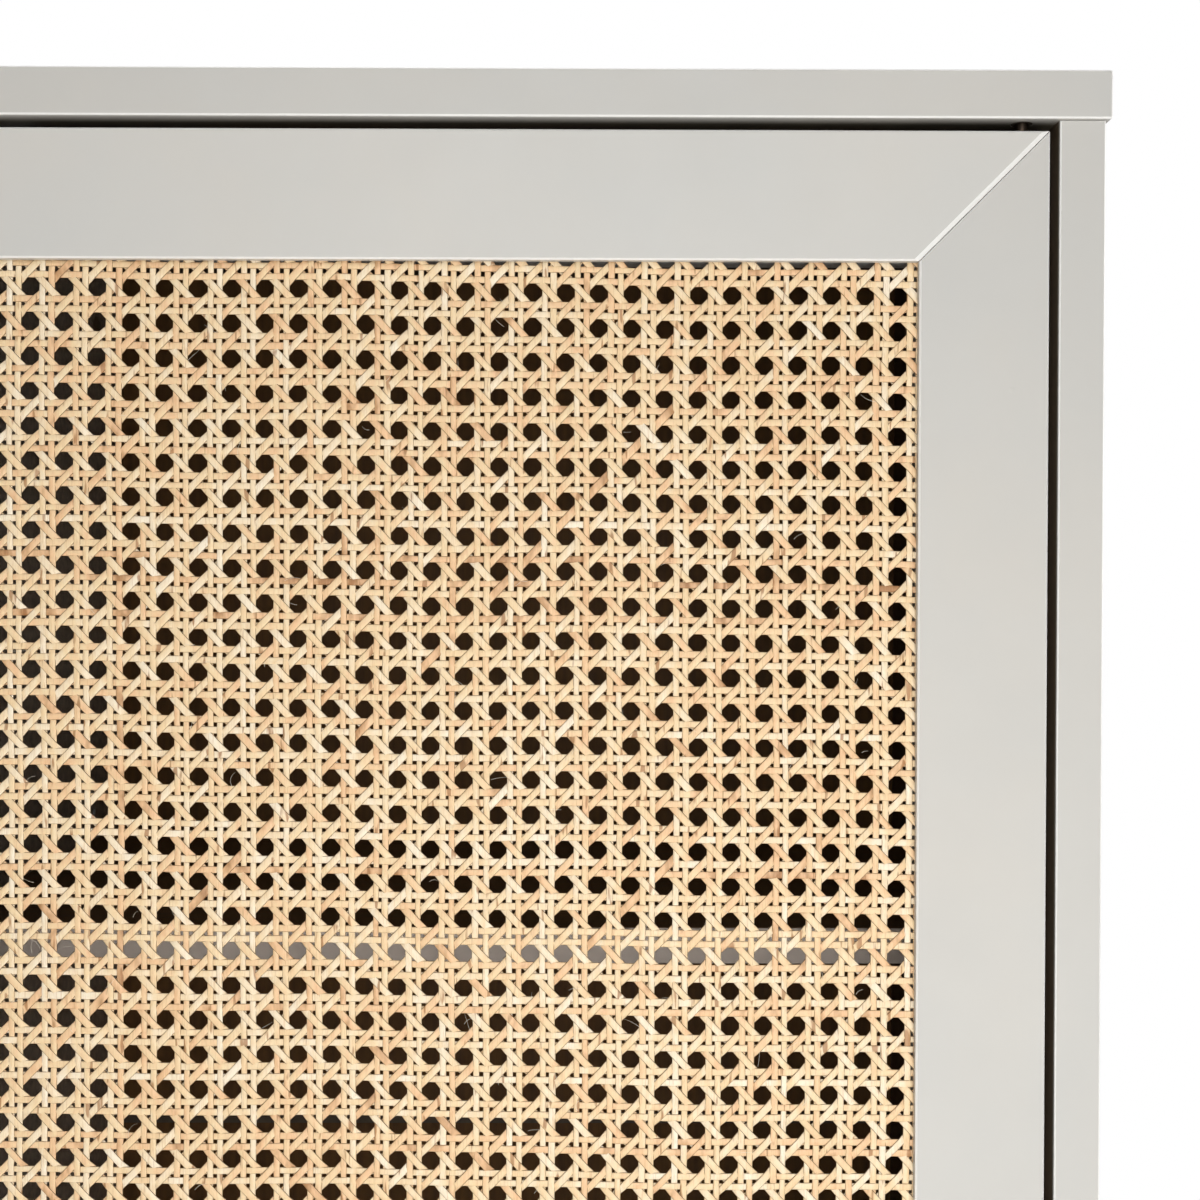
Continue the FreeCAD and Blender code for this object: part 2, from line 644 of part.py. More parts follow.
def back_panel(name, bottom, height):
    body = document.addObject("PartDesign::Body", name)
    half = f"({INNER_HALF} + size.back_groove_depth - size.back_play)"
    outline = new_sketch(body, "XZ_Plane")
    draw_rectangle(outline, f"-{half}", "0", half, height)
    pad(body, outline, "size.back_thickness", reverse=True)
    place(body, "0", f"{FRONT} + size.back_distance + size.back_seat", bottom)
    return keep(body, name)


def back_joint_strip():
    """An H section that holds the edges of the two back panels."""
    body = document.addObject("PartDesign::Body", "back_joint_strip")
    half = "(size.strip_height / 2)"
    front = "(size.strip_flange)"
    rear = "(size.strip_flange + size.back_groove)"
    whole = "(2 * size.strip_flange + size.back_groove)"
    outline = new_sketch(body, "YZ_Plane")
    web = "(size.strip_web / 2)"
    draw_polygon(outline, [
        ("0", f"-{half}"), (front, f"-{half}"), (front, f"-{web}"), (rear, f"-{web}"), (rear, f"-{half}"),
        (whole, f"-{half}"), (whole, half), (rear, half), (rear, web), (front, web),
        (front, half), ("0", half),
    ])
    pad(body, outline, f"2 * {INNER_HALF} - 1", both_ways=True)
    place(body, "0", f"{FRONT} + size.back_distance - size.strip_flange", BACK_JOINT)
    return keep(body, "back_joint_strip")



top_panel()
bottom_panel()
for side, hand in SIDES:
    side_panel(side, hand)
centre_divider()
for side, hand in SIDES:
    for level_name, level in zip(LEVEL_NAMES, SHELF_LEVELS):
        shelf(side, hand, level_name, level)
back_panel("lower_back_panel", BACK_BOTTOM, f"{BACK_JOINT} - size.back_joint_play - {BACK_BOTTOM}")
upper_back_bottom = f"({BACK_JOINT} + size.back_joint_play)"
back_panel("upper_back_panel", upper_back_bottom, f"{BACK_TOP} - {upper_back_bottom}")
back_joint_strip()


# Fittings of the body

def shelf_pins():
    pins = []
    length = "size.pin_depth + size.pin_reach"
    for face, direction, start in (
        (f"-{INNER_HALF}", "X", "-"), (f"-{DIVIDER_HALF}", "-X", "+"),
        (DIVIDER_HALF, "X", "-"), (INNER_HALF, "-X", "+"),
    ):
        for y in SHELF_PIN_Y:
            for level in SHELF_LEVELS:
                height = f"{FLOOR_TOP} + {level} - size.pin_radius"
                x = f"{face} {start} size.pin_depth"
                pins.append(cylinder("size.pin_radius", length, x, f"{FRONT} + {y}", height, direction))
    return group(pins, "shelf_pins")


def cam_lock(x, y, z, direction, slot_direction):
    """A cam disc with a side bore for the head of its bolt and a slot for the screwdriver."""
    disc = cylinder("size.cam_radius", "size.cam_length", x, y, z, direction)
    deep = [moved(start, direction, "size.cam_bore_depth", axis) for axis, start in zip("XYZ", (x, y, z))]
    bore = cylinder("size.cam_bore_radius", "size.cam_radius + 1", *deep, slot_direction)
    return cut(disc, [bore])


def cam_fittings():
    locks = []
    bolts = []
    shank = "size.cam_distance - size.bolt_end_gap"
    for y_local in CAM_Y:
        y = f"{FRONT} + {y_local}"
        cam_z = f"{TOP_UNDERSIDE} - size.cam_distance"
        for sign in (-1, 1):
            x = f"{sign} * {INNER_HALF}"
            direction = "X" if sign > 0 else "-X"
            locks.append(cam_lock(x, y, cam_z, direction, "Z"))
            x_middle = f"{sign} * {SIDE_MIDDLE}"
            bolts.append(cam_bolt(x_middle, y, TOP_UNDERSIDE, "-Z", "Z", shank))
            x_low = f"{sign} * ({INNER_HALF} - size.cam_distance)"
            locks.append(cam_lock(x_low, y, "size.leg_height", "Z", direction))
            inner = "-X" if sign > 0 else "X"
            middle = "size.leg_height + size.bottom_thickness / 2"
            bolts.append(cam_bolt(x, y, middle, inner, direction, shank))
        locks.append(cam_lock(DIVIDER_HALF, y, cam_z, "-X", "Z"))
        bolts.append(cam_bolt("0", y, TOP_UNDERSIDE, "-Z", "Z", shank))
    group(locks, "cam_locks")
    group(bolts, "cam_bolts")


def cam_bolt(x, y, z, shank_direction, pilot_direction, shank_length):
    """A bolt with its thread in one board and its head in the cam of the other."""
    thread = cylinder("size.bolt_radius", "size.bolt_pilot", x, y, z, pilot_direction)
    shank = cylinder("size.bolt_radius - size.bolt_waist", shank_length, x, y, z, shank_direction)
    end = [
        moved(start, shank_direction, f"({shank_length})", axis)
        for axis, start in zip("XYZ", (x, y, z))
    ]
    opposite = {"Z": "-Z", "-Z": "Z", "X": "-X", "-X": "X"}[shank_direction]
    head = cylinder("size.bolt_radius", "size.bolt_head_length", *end, opposite)
    return fuse([thread, shank, head])


def dowels():
    pegs = []
    for y_local in DOWEL_Y:
        y = f"{FRONT} + {y_local}"
        edge_part = "(size.dowel_length - size.dowel_seat)"
        top = f"{TOP_UNDERSIDE} - {edge_part}"
        for x in (f"-{SIDE_MIDDLE}", "0", SIDE_MIDDLE):
            pegs.append(cylinder("size.dowel_radius", "size.dowel_length", x, y, top))
        foot = f"{FLOOR_TOP} - size.dowel_seat"
        pegs.append(cylinder("size.dowel_radius", "size.dowel_length", "0", y, foot))
        middle = "size.leg_height + size.bottom_thickness / 2"
        for start in (f"-{INNER_HALF} - size.dowel_seat", f"{INNER_HALF} - {edge_part}"):
            pegs.append(cylinder("size.dowel_radius", "size.dowel_length", start, y, middle, "X"))
    return group(pegs, "dowels")


def divider_screws():
    form = ("size.divider_screw_radius", "size.divider_screw_length", "size.divider_screw_head")
    screws = [screw("0", f"{FRONT} + {y}", "size.leg_height", "Z", *form) for y in DIVIDER_SCREW_Y]
    return group(screws, "divider_screws")


def pivot_bushes():
    """Bushes flush with the top and bottom boards, which the door pins turn in."""
    bushes = []
    bore_radius = "size.pivot_radius + size.pivot_play"
    bore_length = "size.pivot_reach + size.hole_slack"
    for sign in (-1, 1):
        x = f"{sign} * {PIVOT_X}"
        for level, inward in ((TOP_UNDERSIDE, "Z"), (FLOOR_TOP, "-Z")):
            sleeve = cylinder("size.bush_radius", "size.bush_length", x, PIVOT_Y, level, inward)
            bore = cylinder(bore_radius, bore_length, x, PIVOT_Y, level, inward)
            bushes.append(cut(sleeve, [bore]))
    return group(bushes, "pivot_bushes")


def catches():
    """Magnetic catches under the top panel, one behind each door."""
    housings = []
    magnets = []
    screws = []
    face = f"({FRONT} + {CATCH_FACE})"
    middle = f"({TOP_UNDERSIDE} - size.catch_height / 2)"
    screw_form = ("size.small_screw_radius", "size.catch_screw_length", "size.catch_screw_head")
    play = "2 * size.magnet_play"
    for sign in (-1, 1):
        x = f"{sign} * size.catch_offset"
        shell = centred_box(
            "size.catch_width", "size.catch_depth", "size.catch_height",
            x, f"{face} + size.catch_face", middle,
        )
        slot = centred_box(
            f"(size.magnet_width + {play})", f"(size.magnet_depth + {play} - size.catch_face)",
            f"(size.magnet_height + {play})", x, f"{face} + size.catch_face - size.catch_slot_shift", middle,
        )
        tools = [slot]
        for step in CATCH_SCREW_STEPS:
            at = (f"{x} + {step}", f"{FRONT} + {CATCH_SCREW_Y}")
            tools.append(cylinder("size.screw_hole_radius", "size.catch_height", *at, TOP_UNDERSIDE, "-Z"))
            sink = ("size.catch_sink_radius", "size.catch_sink_end", "size.catch_sink_depth")
            tools.append(cone(*sink, *at, CATCH_BOTTOM))
            screws.append(screw(*at, CATCH_BOTTOM, "Z", *screw_form))
        housings.append(cut(shell, tools))
        magnet = ("size.magnet_width", "size.magnet_depth", "size.magnet_height")
        magnets.append(centred_box(*magnet, x, face, middle))
    group(housings, "catch_housings")
    group(magnets, "catch_magnets")
    group(screws, "catch_screws")


def door_bumpers():
    bumpers = []
    for sign in (-1, 1):
        for z in (f"{DOOR_TOP} - size.bumper_inset", f"{DOOR_BOTTOM} + size.bumper_inset"):
            at = (f"{sign} * size.bumper_offset", f"{FRONT} + size.divider_setback", z)
            bumpers.append(cylinder("size.bumper_radius", "size.bumper_thickness", *at, "-Y"))
    return group(bumpers, "door_bumpers")


shelf_pins()
cam_fittings()
dowels()
divider_screws()
pivot_bushes()
catches()
door_bumpers()


# Legs


def draw_eased_square(sketch, width, ease):
    """A square around the centre, with its four corners cut back by ease."""
    half = f"({width} / 2)"
    short = f"({width} / 2 - {ease})"
    draw_polygon(sketch, [
        (f"-{short}", f"-{half}"), (short, f"-{half}"), (half, f"-{short}"), (half, short),
        (short, half), (f"-{short}", half), (f"-{half}", short), (f"-{half}", f"-{short}"),
    ])


def leg(name, x, y):
    """A square leg that tapers towards the floor, with a hole for its bolt."""
    body = document.addObject("PartDesign::Body", name)
    foot = new_sketch(body, "XY_Plane")
    draw_eased_square(foot, "size.leg_foot_width", "size.leg_ease")
    head = new_sketch(body, "XY_Plane", LEG_LENGTH)
    draw_eased_square(head, "size.leg_top_width", "size.leg_ease")
    loft = body.newObject("PartDesign::AdditiveLoft", "Loft")
    loft.Profile = foot
    loft.Sections = [head]
    loft.Ruled = True
    document.recompute()
    hole = "size.leg_bolt_radius + size.fit_play"
    drill(body, "XY_Plane", LEG_LENGTH, [("0", "0")], hole, "size.leg_bolt_depth + size.hole_slack")
    place(body, x, y, LEG_BOTTOM)
    return keep(body, name)


def leg_fittings():
    plates = []
    screws = []
    bolts = []
    glides = []
    screw_form = ("size.leg_screw_radius", "size.leg_screw_length", "size.leg_screw_head")
    sink = ("size.leg_sink_radius", "size.leg_sink_end", "size.leg_sink_depth")
    for side, hand in SIDES:
        for y_local in LEG_Y:
            x = f"{hand} * {LEG_X}"
            y = f"({FRONT} + {y_local})"
            width = "size.leg_plate_width"
            thick = "size.leg_plate_thickness"
            slab = box(width, width, thick, f"{x} - {width} / 2", f"{y} - {width} / 2", LEG_TOP)
            holes = [cylinder("size.leg_bolt_radius + size.fit_play", thick, x, y, LEG_TOP)]
            for step_x in LEG_SCREW_STEPS:
                for step_y in LEG_SCREW_STEPS:
                    at = (f"{x} + {hand} * {step_x}", f"{y} + {step_y}", LEG_TOP)
                    holes.append(cylinder("size.leg_hole_radius", thick, *at))
                    holes.append(cone(*sink, *at))
                    screws.append(screw(*at, "Z", *screw_form))
            plates.append(cut(slab, holes))
            bolt_start = f"{LEG_TOP} - size.leg_bolt_depth"
            bolt_length = f"size.leg_bolt_depth + {thick}"
            bolts.append(cylinder("size.leg_bolt_radius", bolt_length, x, y, bolt_start))
            glides.append(cylinder("size.glide_radius", "size.glide_thickness", x, y, "0"))
    group(plates, "leg_plates")
    group(screws, "leg_plate_screws")
    group(bolts, "leg_bolts")
    group(glides, "leg_glides")


for side, hand in SIDES:
    for place_name, y_local in zip(("front", "back"), LEG_Y):
        leg(f"{side}_{place_name}_leg", f"{hand} * {LEG_X}", f"{FRONT} + {y_local}")
leg_fittings()


# Doors

def frame_member(name, length, upright):
    """One mitred member. Local Z is 0 on its outer edge, Y is 0 on its front face, X runs along it."""
    body = document.addObject("PartDesign::Body", name)
    width = "size.frame_width"
    half = f"({length} / 2 - size.mitre_gap * sqrt(2))"
    outline = new_sketch(body, "XZ_Plane")
    draw_polygon(outline, [
        (f"-{half}", "0"), (half, "0"),
        (f"{half} - {width}", f"-{width}"), (f"-{half} + {width}", f"-{width}"),
    ])
    pad(body, outline, "size.door_thickness", reverse=True)

    def at_mitre(edge):
        return edge_lies(edge, "y", 0) and edge.BoundBox.ZLength > 10

    def at_front_arris(edge):
        return edge_lies(edge, "y", 0) and edge.BoundBox.ZLength < 0.01

    if upright:
        dress(body, "Chamfer", "size.stile_ease", at_mitre)
    else:
        for end in (-1, 1):
            bevel(
                body, "size.mitre_ease", "size.mitre_ease_depth",
                lambda edge: at_mitre(edge) and edge.CenterOfMass.x * end > 0,
            )
    dress(body, "Chamfer", "size.door_arris", at_front_arris)
    rebate = new_sketch(body, "YZ_Plane")
    draw_rectangle(
        rebate, "size.lip_thickness", f"-{width} - 1",
        "size.door_thickness + 1", f"-{width} + size.rebate_width",
    )
    pocket(body, rebate, length, both_ways=True)
    slots = new_sketch(body, "XZ_Plane", "-(size.lip_thickness + size.door_thickness) / 2")
    far = "((size.biscuit_length + size.biscuit_width + 4 * size.biscuit_play) / sqrt(8))"
    near = "((size.biscuit_length - size.biscuit_width) / sqrt(8))"
    corners = [(f"(-{near})", f"(-{far})"), (far, near), (near, far), (f"(-{far})", f"(-{near})")]
    for end in (-1, 1):
        middle = f"{end} * ({length} / 2 - {BISCUIT_INSET})"
        draw_polygon(slots, [
            (f"{middle} + {end} * {step_x}", f"-{BISCUIT_INSET} + {step_z}") for step_x, step_z in corners
        ])
    pocket(body, slots, "size.biscuit_thickness + size.biscuit_play", both_ways=True)
    return body


def seat_pivot_plate(rail, hand, flip):
    """Carve the seat of a pivot plate and its screw holes into the outer edge of a rail."""
    pivot = f"{flip * hand} * ({DOOR_WIDTH} / 2 - size.pivot_inset)"
    inner = -flip * hand
    seat = new_sketch(rail, "XY_Plane")
    near = f"{pivot} - {inner} * (size.plate_overhang + size.plate_play)"
    far = f"{pivot} + {inner} * (size.plate_length - size.plate_overhang + size.plate_play)"
    half = "(size.plate_width / 2 + size.plate_play)"
    draw_rectangle(seat, near, f"size.pivot_setback - {half}", far, f"size.pivot_setback + {half}")
    pocket(rail, seat, "size.plate_thickness + size.plate_play / 2")
    screws = [(f"{pivot} + {inner} * {step}", "size.pivot_setback") for step in PLATE_SCREW_STEPS]
    drill(rail, "XY_Plane", "0", screws, "size.screw_hole_radius", "size.plate_screw_length + 1")


def drill_strike(rail, hand):
    """Drill the holes of the strike plate into the back of a top rail."""
    along = f"{hand} * (size.catch_offset - {DOOR_CENTRE})"
    holes = [(f"{along} + {step}", f"{STRIKE_Z} - {DOOR_TOP}") for step in STRIKE_SCREW_STEPS]
    form = ("size.screw_pilot_radius", "size.strike_hole_depth")
    drill(rail, "XZ_Plane", "-size.door_thickness", holes, *form, True)


def drill_knob(stile, hand):
    """Drill the knob hole through a meeting stile."""
    along = f"{hand} * ({KNOB_Z} - {DOOR_MIDDLE})"
    centre = [(along, "-size.knob_edge_inset")]
    drill(stile, "XZ_Plane", "0", centre, "size.knob_hole_radius", "size.door_thickness")


def door_frame(side, hand):
    """Two rails and two stiles with mitred corners."""
    centre = f"{hand} * {DOOR_CENTRE}"
    members = [
        ("top_rail", DOOR_WIDTH, False, centre, DOOR_TOP, 0),
        ("bottom_rail", DOOR_WIDTH, False, centre, DOOR_BOTTOM, 180),
        ("hinge_stile", DOOR_HEIGHT, True, f"{hand} * {DOOR_EDGE}", DOOR_MIDDLE, 90 * hand),
        ("meeting_stile", DOOR_HEIGHT, True, f"{hand} * size.meeting_gap / 2", DOOR_MIDDLE, -90 * hand),
    ]
    for member, length, upright, x, z, turn in members:
        body = frame_member(f"{side}_door_{member}", length, upright)
        if member == "top_rail":
            seat_pivot_plate(body, hand, 1)
            drill_strike(body, hand)
        if member == "bottom_rail":
            seat_pivot_plate(body, hand, -1)
        if member == "meeting_stile":
            drill_knob(body, hand)
        place(body, x, FRONT, z, FreeCAD.Rotation(FreeCAD.Vector(0, 1, 0), turn))
        keep(body, f"{side}_door_{member}")


def door_cane(side, hand):
    """The cane sheet and the four beads that hold it in the rebate."""
    centre = f"({hand} * {DOOR_CENTRE})"
    margin = "2 * size.cane_margin"
    cane = centred_box(
        f"({OPENING_WIDTH} + {margin})", "size.cane_thickness", f"({OPENING_HEIGHT} + {margin})",
        centre, f"{FRONT} + size.lip_thickness", DOOR_MIDDLE,
    )
    keep(cane, f"{side}_door_cane")
    bead_y = f"{FRONT} + size.lip_thickness + size.cane_thickness"
    reach = "(size.rebate_width - size.bead_width / 2 - size.bead_play)"
    across = f"({OPENING_WIDTH} + 2 * size.rebate_width - 2 * size.bead_play)"
    short = "(2 * size.bead_width + 2 * size.bead_play + 2 * size.bead_end_play)"
    up = f"({OPENING_HEIGHT} + 2 * size.rebate_width - {short})"
    beads = []
    for sign in (-1, 1):
        z = f"({DOOR_MIDDLE} + {sign} * ({OPENING_HEIGHT} / 2 + {reach}))"
        beads.append(centred_box(across, "size.bead_depth", "size.bead_width", centre, bead_y, z))
        x = f"({centre} + {sign} * ({OPENING_WIDTH} / 2 + {reach}))"
        beads.append(centred_box("size.bead_width", "size.bead_depth", up, x, bead_y, DOOR_MIDDLE))
    group(beads, f"{side}_door_cane_beads")


def door_biscuits(side, hand):
    """A flat biscuit in each mitre, its length along the joint."""
    far = "(size.biscuit_length + size.biscuit_width) / sqrt(8)"
    near = "(size.biscuit_length - size.biscuit_width) / sqrt(8)"
    y = f"{FRONT} + (size.lip_thickness + size.door_thickness - size.biscuit_thickness) / 2"
    biscuits = []
    for end in (-1, 1):
        for level in (-1, 1):
            x = f"{hand} * {DOOR_CENTRE} + {end} * ({DOOR_WIDTH} / 2 - {BISCUIT_INSET})"
            z = f"{DOOR_MIDDLE} + {level} * ({DOOR_HEIGHT} / 2 - {BISCUIT_INSET})"
            biscuit = document.addObject("Part::Box", "Biscuit")
            biscuit.setExpression("Length", "size.biscuit_length")
            biscuit.setExpression("Width", "size.biscuit_thickness")
            biscuit.setExpression("Height", "size.biscuit_width")
            if end * level > 0:
                turn = FreeCAD.Rotation(FreeCAD.Vector(0, 1, 0), -45)
                place(biscuit, f"{x} - {near}", y, f"{z} - {far}", turn)
            else:
                turn = FreeCAD.Rotation(FreeCAD.Vector(0, 1, 0), 45)
                place(biscuit, f"{x} - {far}", y, f"{z} + {near}", turn)
            biscuits.append(biscuit)
    group(biscuits, f"{side}_door_mitre_biscuits")


def door_pivots(side, hand):
    """Plates let into the top and bottom edges of the door, each with the pin that the door turns on."""
    pivot_x = f"{hand} * {PIVOT_X}"
    screws = []
    screw_form = ("size.plate_screw_radius", "size.plate_screw_length", "size.plate_screw_head")
    for name, edge, outward, inward, gap in (
        ("upper", DOOR_TOP, "Z", "-Z", "size.top_gap"),
        ("lower", DOOR_BOTTOM, "-Z", "Z", "size.bottom_gap"),
    ):
        plate_middle = f"({pivot_x} - {hand} * (size.plate_length / 2 - size.plate_overhang))"
        sunk = "size.plate_thickness / 2"
        level = f"({edge} {'-' if outward == 'Z' else '+'} {sunk})"
        plate_y = f"{PIVOT_Y} - size.plate_width / 2"
        plate = centred_box(
            "size.plate_length", "size.plate_width", "size.plate_thickness", plate_middle, plate_y, level
        )
        pin = cylinder("size.pivot_radius", f"{gap} + size.pivot_reach", pivot_x, PIVOT_Y, edge, outward)
        holes = []
        for step in PLATE_SCREW_STEPS:
            at = (f"{pivot_x} - {hand} * {step}", PIVOT_Y, edge)
            holes.append(cylinder("size.screw_hole_radius", "size.plate_thickness", *at, inward))
            sink = ("size.plate_sink_radius", "size.screw_hole_radius", "size.plate_sink_depth")
            holes.append(cone(*sink, *at, inward))
            screws.append(screw(*at, inward, *screw_form))
        keep(fuse([cut(plate, holes), pin]), f"{side}_door_{name}_pivot")
    group(screws, f"{side}_door_pivot_screws")


def door_knob(side, hand):
    """A turned knob and the screw that holds it through the stile."""
    body = document.addObject("PartDesign::Body", f"{side}_door_knob")
    profile = new_sketch(body, "YZ_Plane")
    reach = "size.knob_projection"
    radius = "size.knob_radius"
    draw_polygon(profile, [
        ("0", "0"),
        (f"-{reach}", "0"),
        (f"-{reach}", f"{radius} - size.knob_face_inset"),
        (f"-{reach} + size.knob_rim_depth", f"{radius} - size.knob_rim_inset"),
        (f"-{reach} + size.knob_crown_depth", radius),
        (f"-{reach} + size.knob_back_depth", f"{radius} - size.knob_back_inset"),
        (f"-{reach} + size.knob_cove_depth", f"{radius} - size.knob_cove_inset"),
        ("-size.knob_neck", f"{radius} - size.knob_neck_inset"),
        ("-size.knob_foot", f"{radius} - size.knob_foot_inset"),
        ("0", f"{radius} - size.knob_seat_inset"),
    ])
    turned = body.newObject("PartDesign::Revolution", "Revolution")
    turned.Profile = profile
    turned.ReferenceAxis = (profile, ["H_Axis"])
    turned.Angle = 360
    document.recompute()
    thread_depth = "size.knob_screw_reach + size.hole_slack"
    drill(body, "XZ_Plane", "0", [("0", "0")], "size.knob_thread_radius", thread_depth, True)
    x = f"{hand} * {KNOB_X}"
    place(body, x, FRONT, KNOB_Z)
    keep(body, f"{side}_door_knob")
    shank_length = "size.door_thickness + size.knob_screw_reach"
    shank = cylinder("size.knob_screw_radius", shank_length, x, DOOR_BACK, KNOB_Z, "-Y")
    head = cylinder("size.knob_screw_head", "size.knob_screw_head_height", x, DOOR_BACK, KNOB_Z, "Y")
    keep(fuse([shank, head]), f"{side}_door_knob_screw")


def door_strike(side, hand):
    """The steel plate that the magnetic catch holds."""
    x = f"({hand} * size.catch_offset)"
    thick = "size.strike_thickness"
    plate = centred_box("size.strike_width", thick, "size.strike_height", x, DOOR_BACK, STRIKE_Z)
    screw_form = ("size.small_screw_radius", "size.strike_screw_length", "size.strike_screw_head")
    sink = ("size.strike_sink_radius", "size.screw_pilot_radius", "size.strike_sink_depth")
    holes = []
    screws = []
    for step in STRIKE_SCREW_STEPS:
        at = (f"{x} + {step}", f"{DOOR_BACK} + {thick}", STRIKE_Z)
        holes.append(cylinder("size.screw_pilot_radius", thick, *at, "-Y"))
        holes.append(cone(*sink, *at, "-Y"))
        screws.append(screw(*at, "-Y", *screw_form))
    keep(cut(plate, holes), f"{side}_door_strike_plate")
    group(screws, f"{side}_door_strike_screws")


for side, hand in SIDES:
    door_frame(side, hand)
    door_cane(side, hand)
    door_biscuits(side, hand)
    door_pivots(side, hand)
    door_knob(side, hand)
    door_strike(side, hand)

# Check everything, then write one file for each sub-part.
document.recompute()
for piece in document.Objects:
    if "Invalid" in piece.State or "Error" in piece.State:
        raise ValueError(f"{piece.Label} failed: {piece.State}")
for piece in subparts:
    if piece.Shape.isNull() or not piece.Shape.isValid() or piece.Shape.Volume < 1:
        raise ValueError(f"{piece.Label} has no valid shape")

os.makedirs("parts", exist_ok=True)
for piece in subparts:
    piece.Shape.exportStep(f"parts/{piece.Label}.step")
print(f"{len(subparts)} sub-parts written")
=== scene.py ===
import json
import math

import bpy
import numpy as np
from mathutils import Matrix, Vector


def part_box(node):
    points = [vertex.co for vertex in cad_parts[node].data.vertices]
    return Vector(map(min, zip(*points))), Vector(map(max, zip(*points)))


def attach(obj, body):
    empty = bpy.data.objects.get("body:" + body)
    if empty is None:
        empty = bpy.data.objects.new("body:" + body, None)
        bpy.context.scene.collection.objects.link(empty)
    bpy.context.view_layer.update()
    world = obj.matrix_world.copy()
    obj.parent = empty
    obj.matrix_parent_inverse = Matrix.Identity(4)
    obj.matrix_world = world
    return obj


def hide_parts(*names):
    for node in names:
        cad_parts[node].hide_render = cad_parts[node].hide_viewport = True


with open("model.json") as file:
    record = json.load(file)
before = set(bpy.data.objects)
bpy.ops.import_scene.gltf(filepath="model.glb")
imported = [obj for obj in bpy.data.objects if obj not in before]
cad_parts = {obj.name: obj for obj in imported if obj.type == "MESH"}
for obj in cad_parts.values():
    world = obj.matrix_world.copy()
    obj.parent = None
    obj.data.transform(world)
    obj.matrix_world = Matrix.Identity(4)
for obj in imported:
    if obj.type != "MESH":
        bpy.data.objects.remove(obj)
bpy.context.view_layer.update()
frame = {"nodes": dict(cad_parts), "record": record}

MM = 0.001

# ---------------------------------------------------------------- camera
# A close view of the top right corner of the cabinet, square on to the doors.
CAMERA_ACROSS = 278.9 * MM
CAMERA_HEIGHT = 922.1 * MM
CAMERA_DISTANCE = 600 * MM      # in front of the doors
CAMERA_YAW = math.radians(0.268)
CAMERA_PITCH = math.radians(-0.724)
CAMERA_ROLL = math.radians(0.142)
LENS = 48.7
SENSOR = 36.0


def make_camera():
    door_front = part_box("right_door_hinge_stile")[0].y
    ahead = Vector((
        math.sin(CAMERA_YAW) * math.cos(CAMERA_PITCH),
        math.cos(CAMERA_YAW) * math.cos(CAMERA_PITCH),
        math.sin(CAMERA_PITCH)))
    level_right = Vector((math.cos(CAMERA_YAW), -math.sin(CAMERA_YAW), 0))
    level_up = level_right.cross(ahead)
    right = math.cos(CAMERA_ROLL) * level_right + math.sin(CAMERA_ROLL) * level_up
    up = -math.sin(CAMERA_ROLL) * level_right + math.cos(CAMERA_ROLL) * level_up
    data = bpy.data.cameras.new("camera")
    data.lens = LENS
    data.sensor_width = SENSOR
    data.clip_start = 0.01
    camera = bpy.data.objects.new("camera", data)
    bpy.context.scene.collection.objects.link(camera)
    turn = Matrix((right, up, -ahead)).transposed().to_4x4()
    place = Matrix.Translation((CAMERA_ACROSS, door_front - CAMERA_DISTANCE, CAMERA_HEIGHT))
    camera.matrix_world = place @ turn
    bpy.context.scene.camera = camera


# ---------------------------------------------------------------- material helpers
# Most of a noise's values lie between these.
NOISE_LOW = 0.3
NOISE_HIGH = 0.7


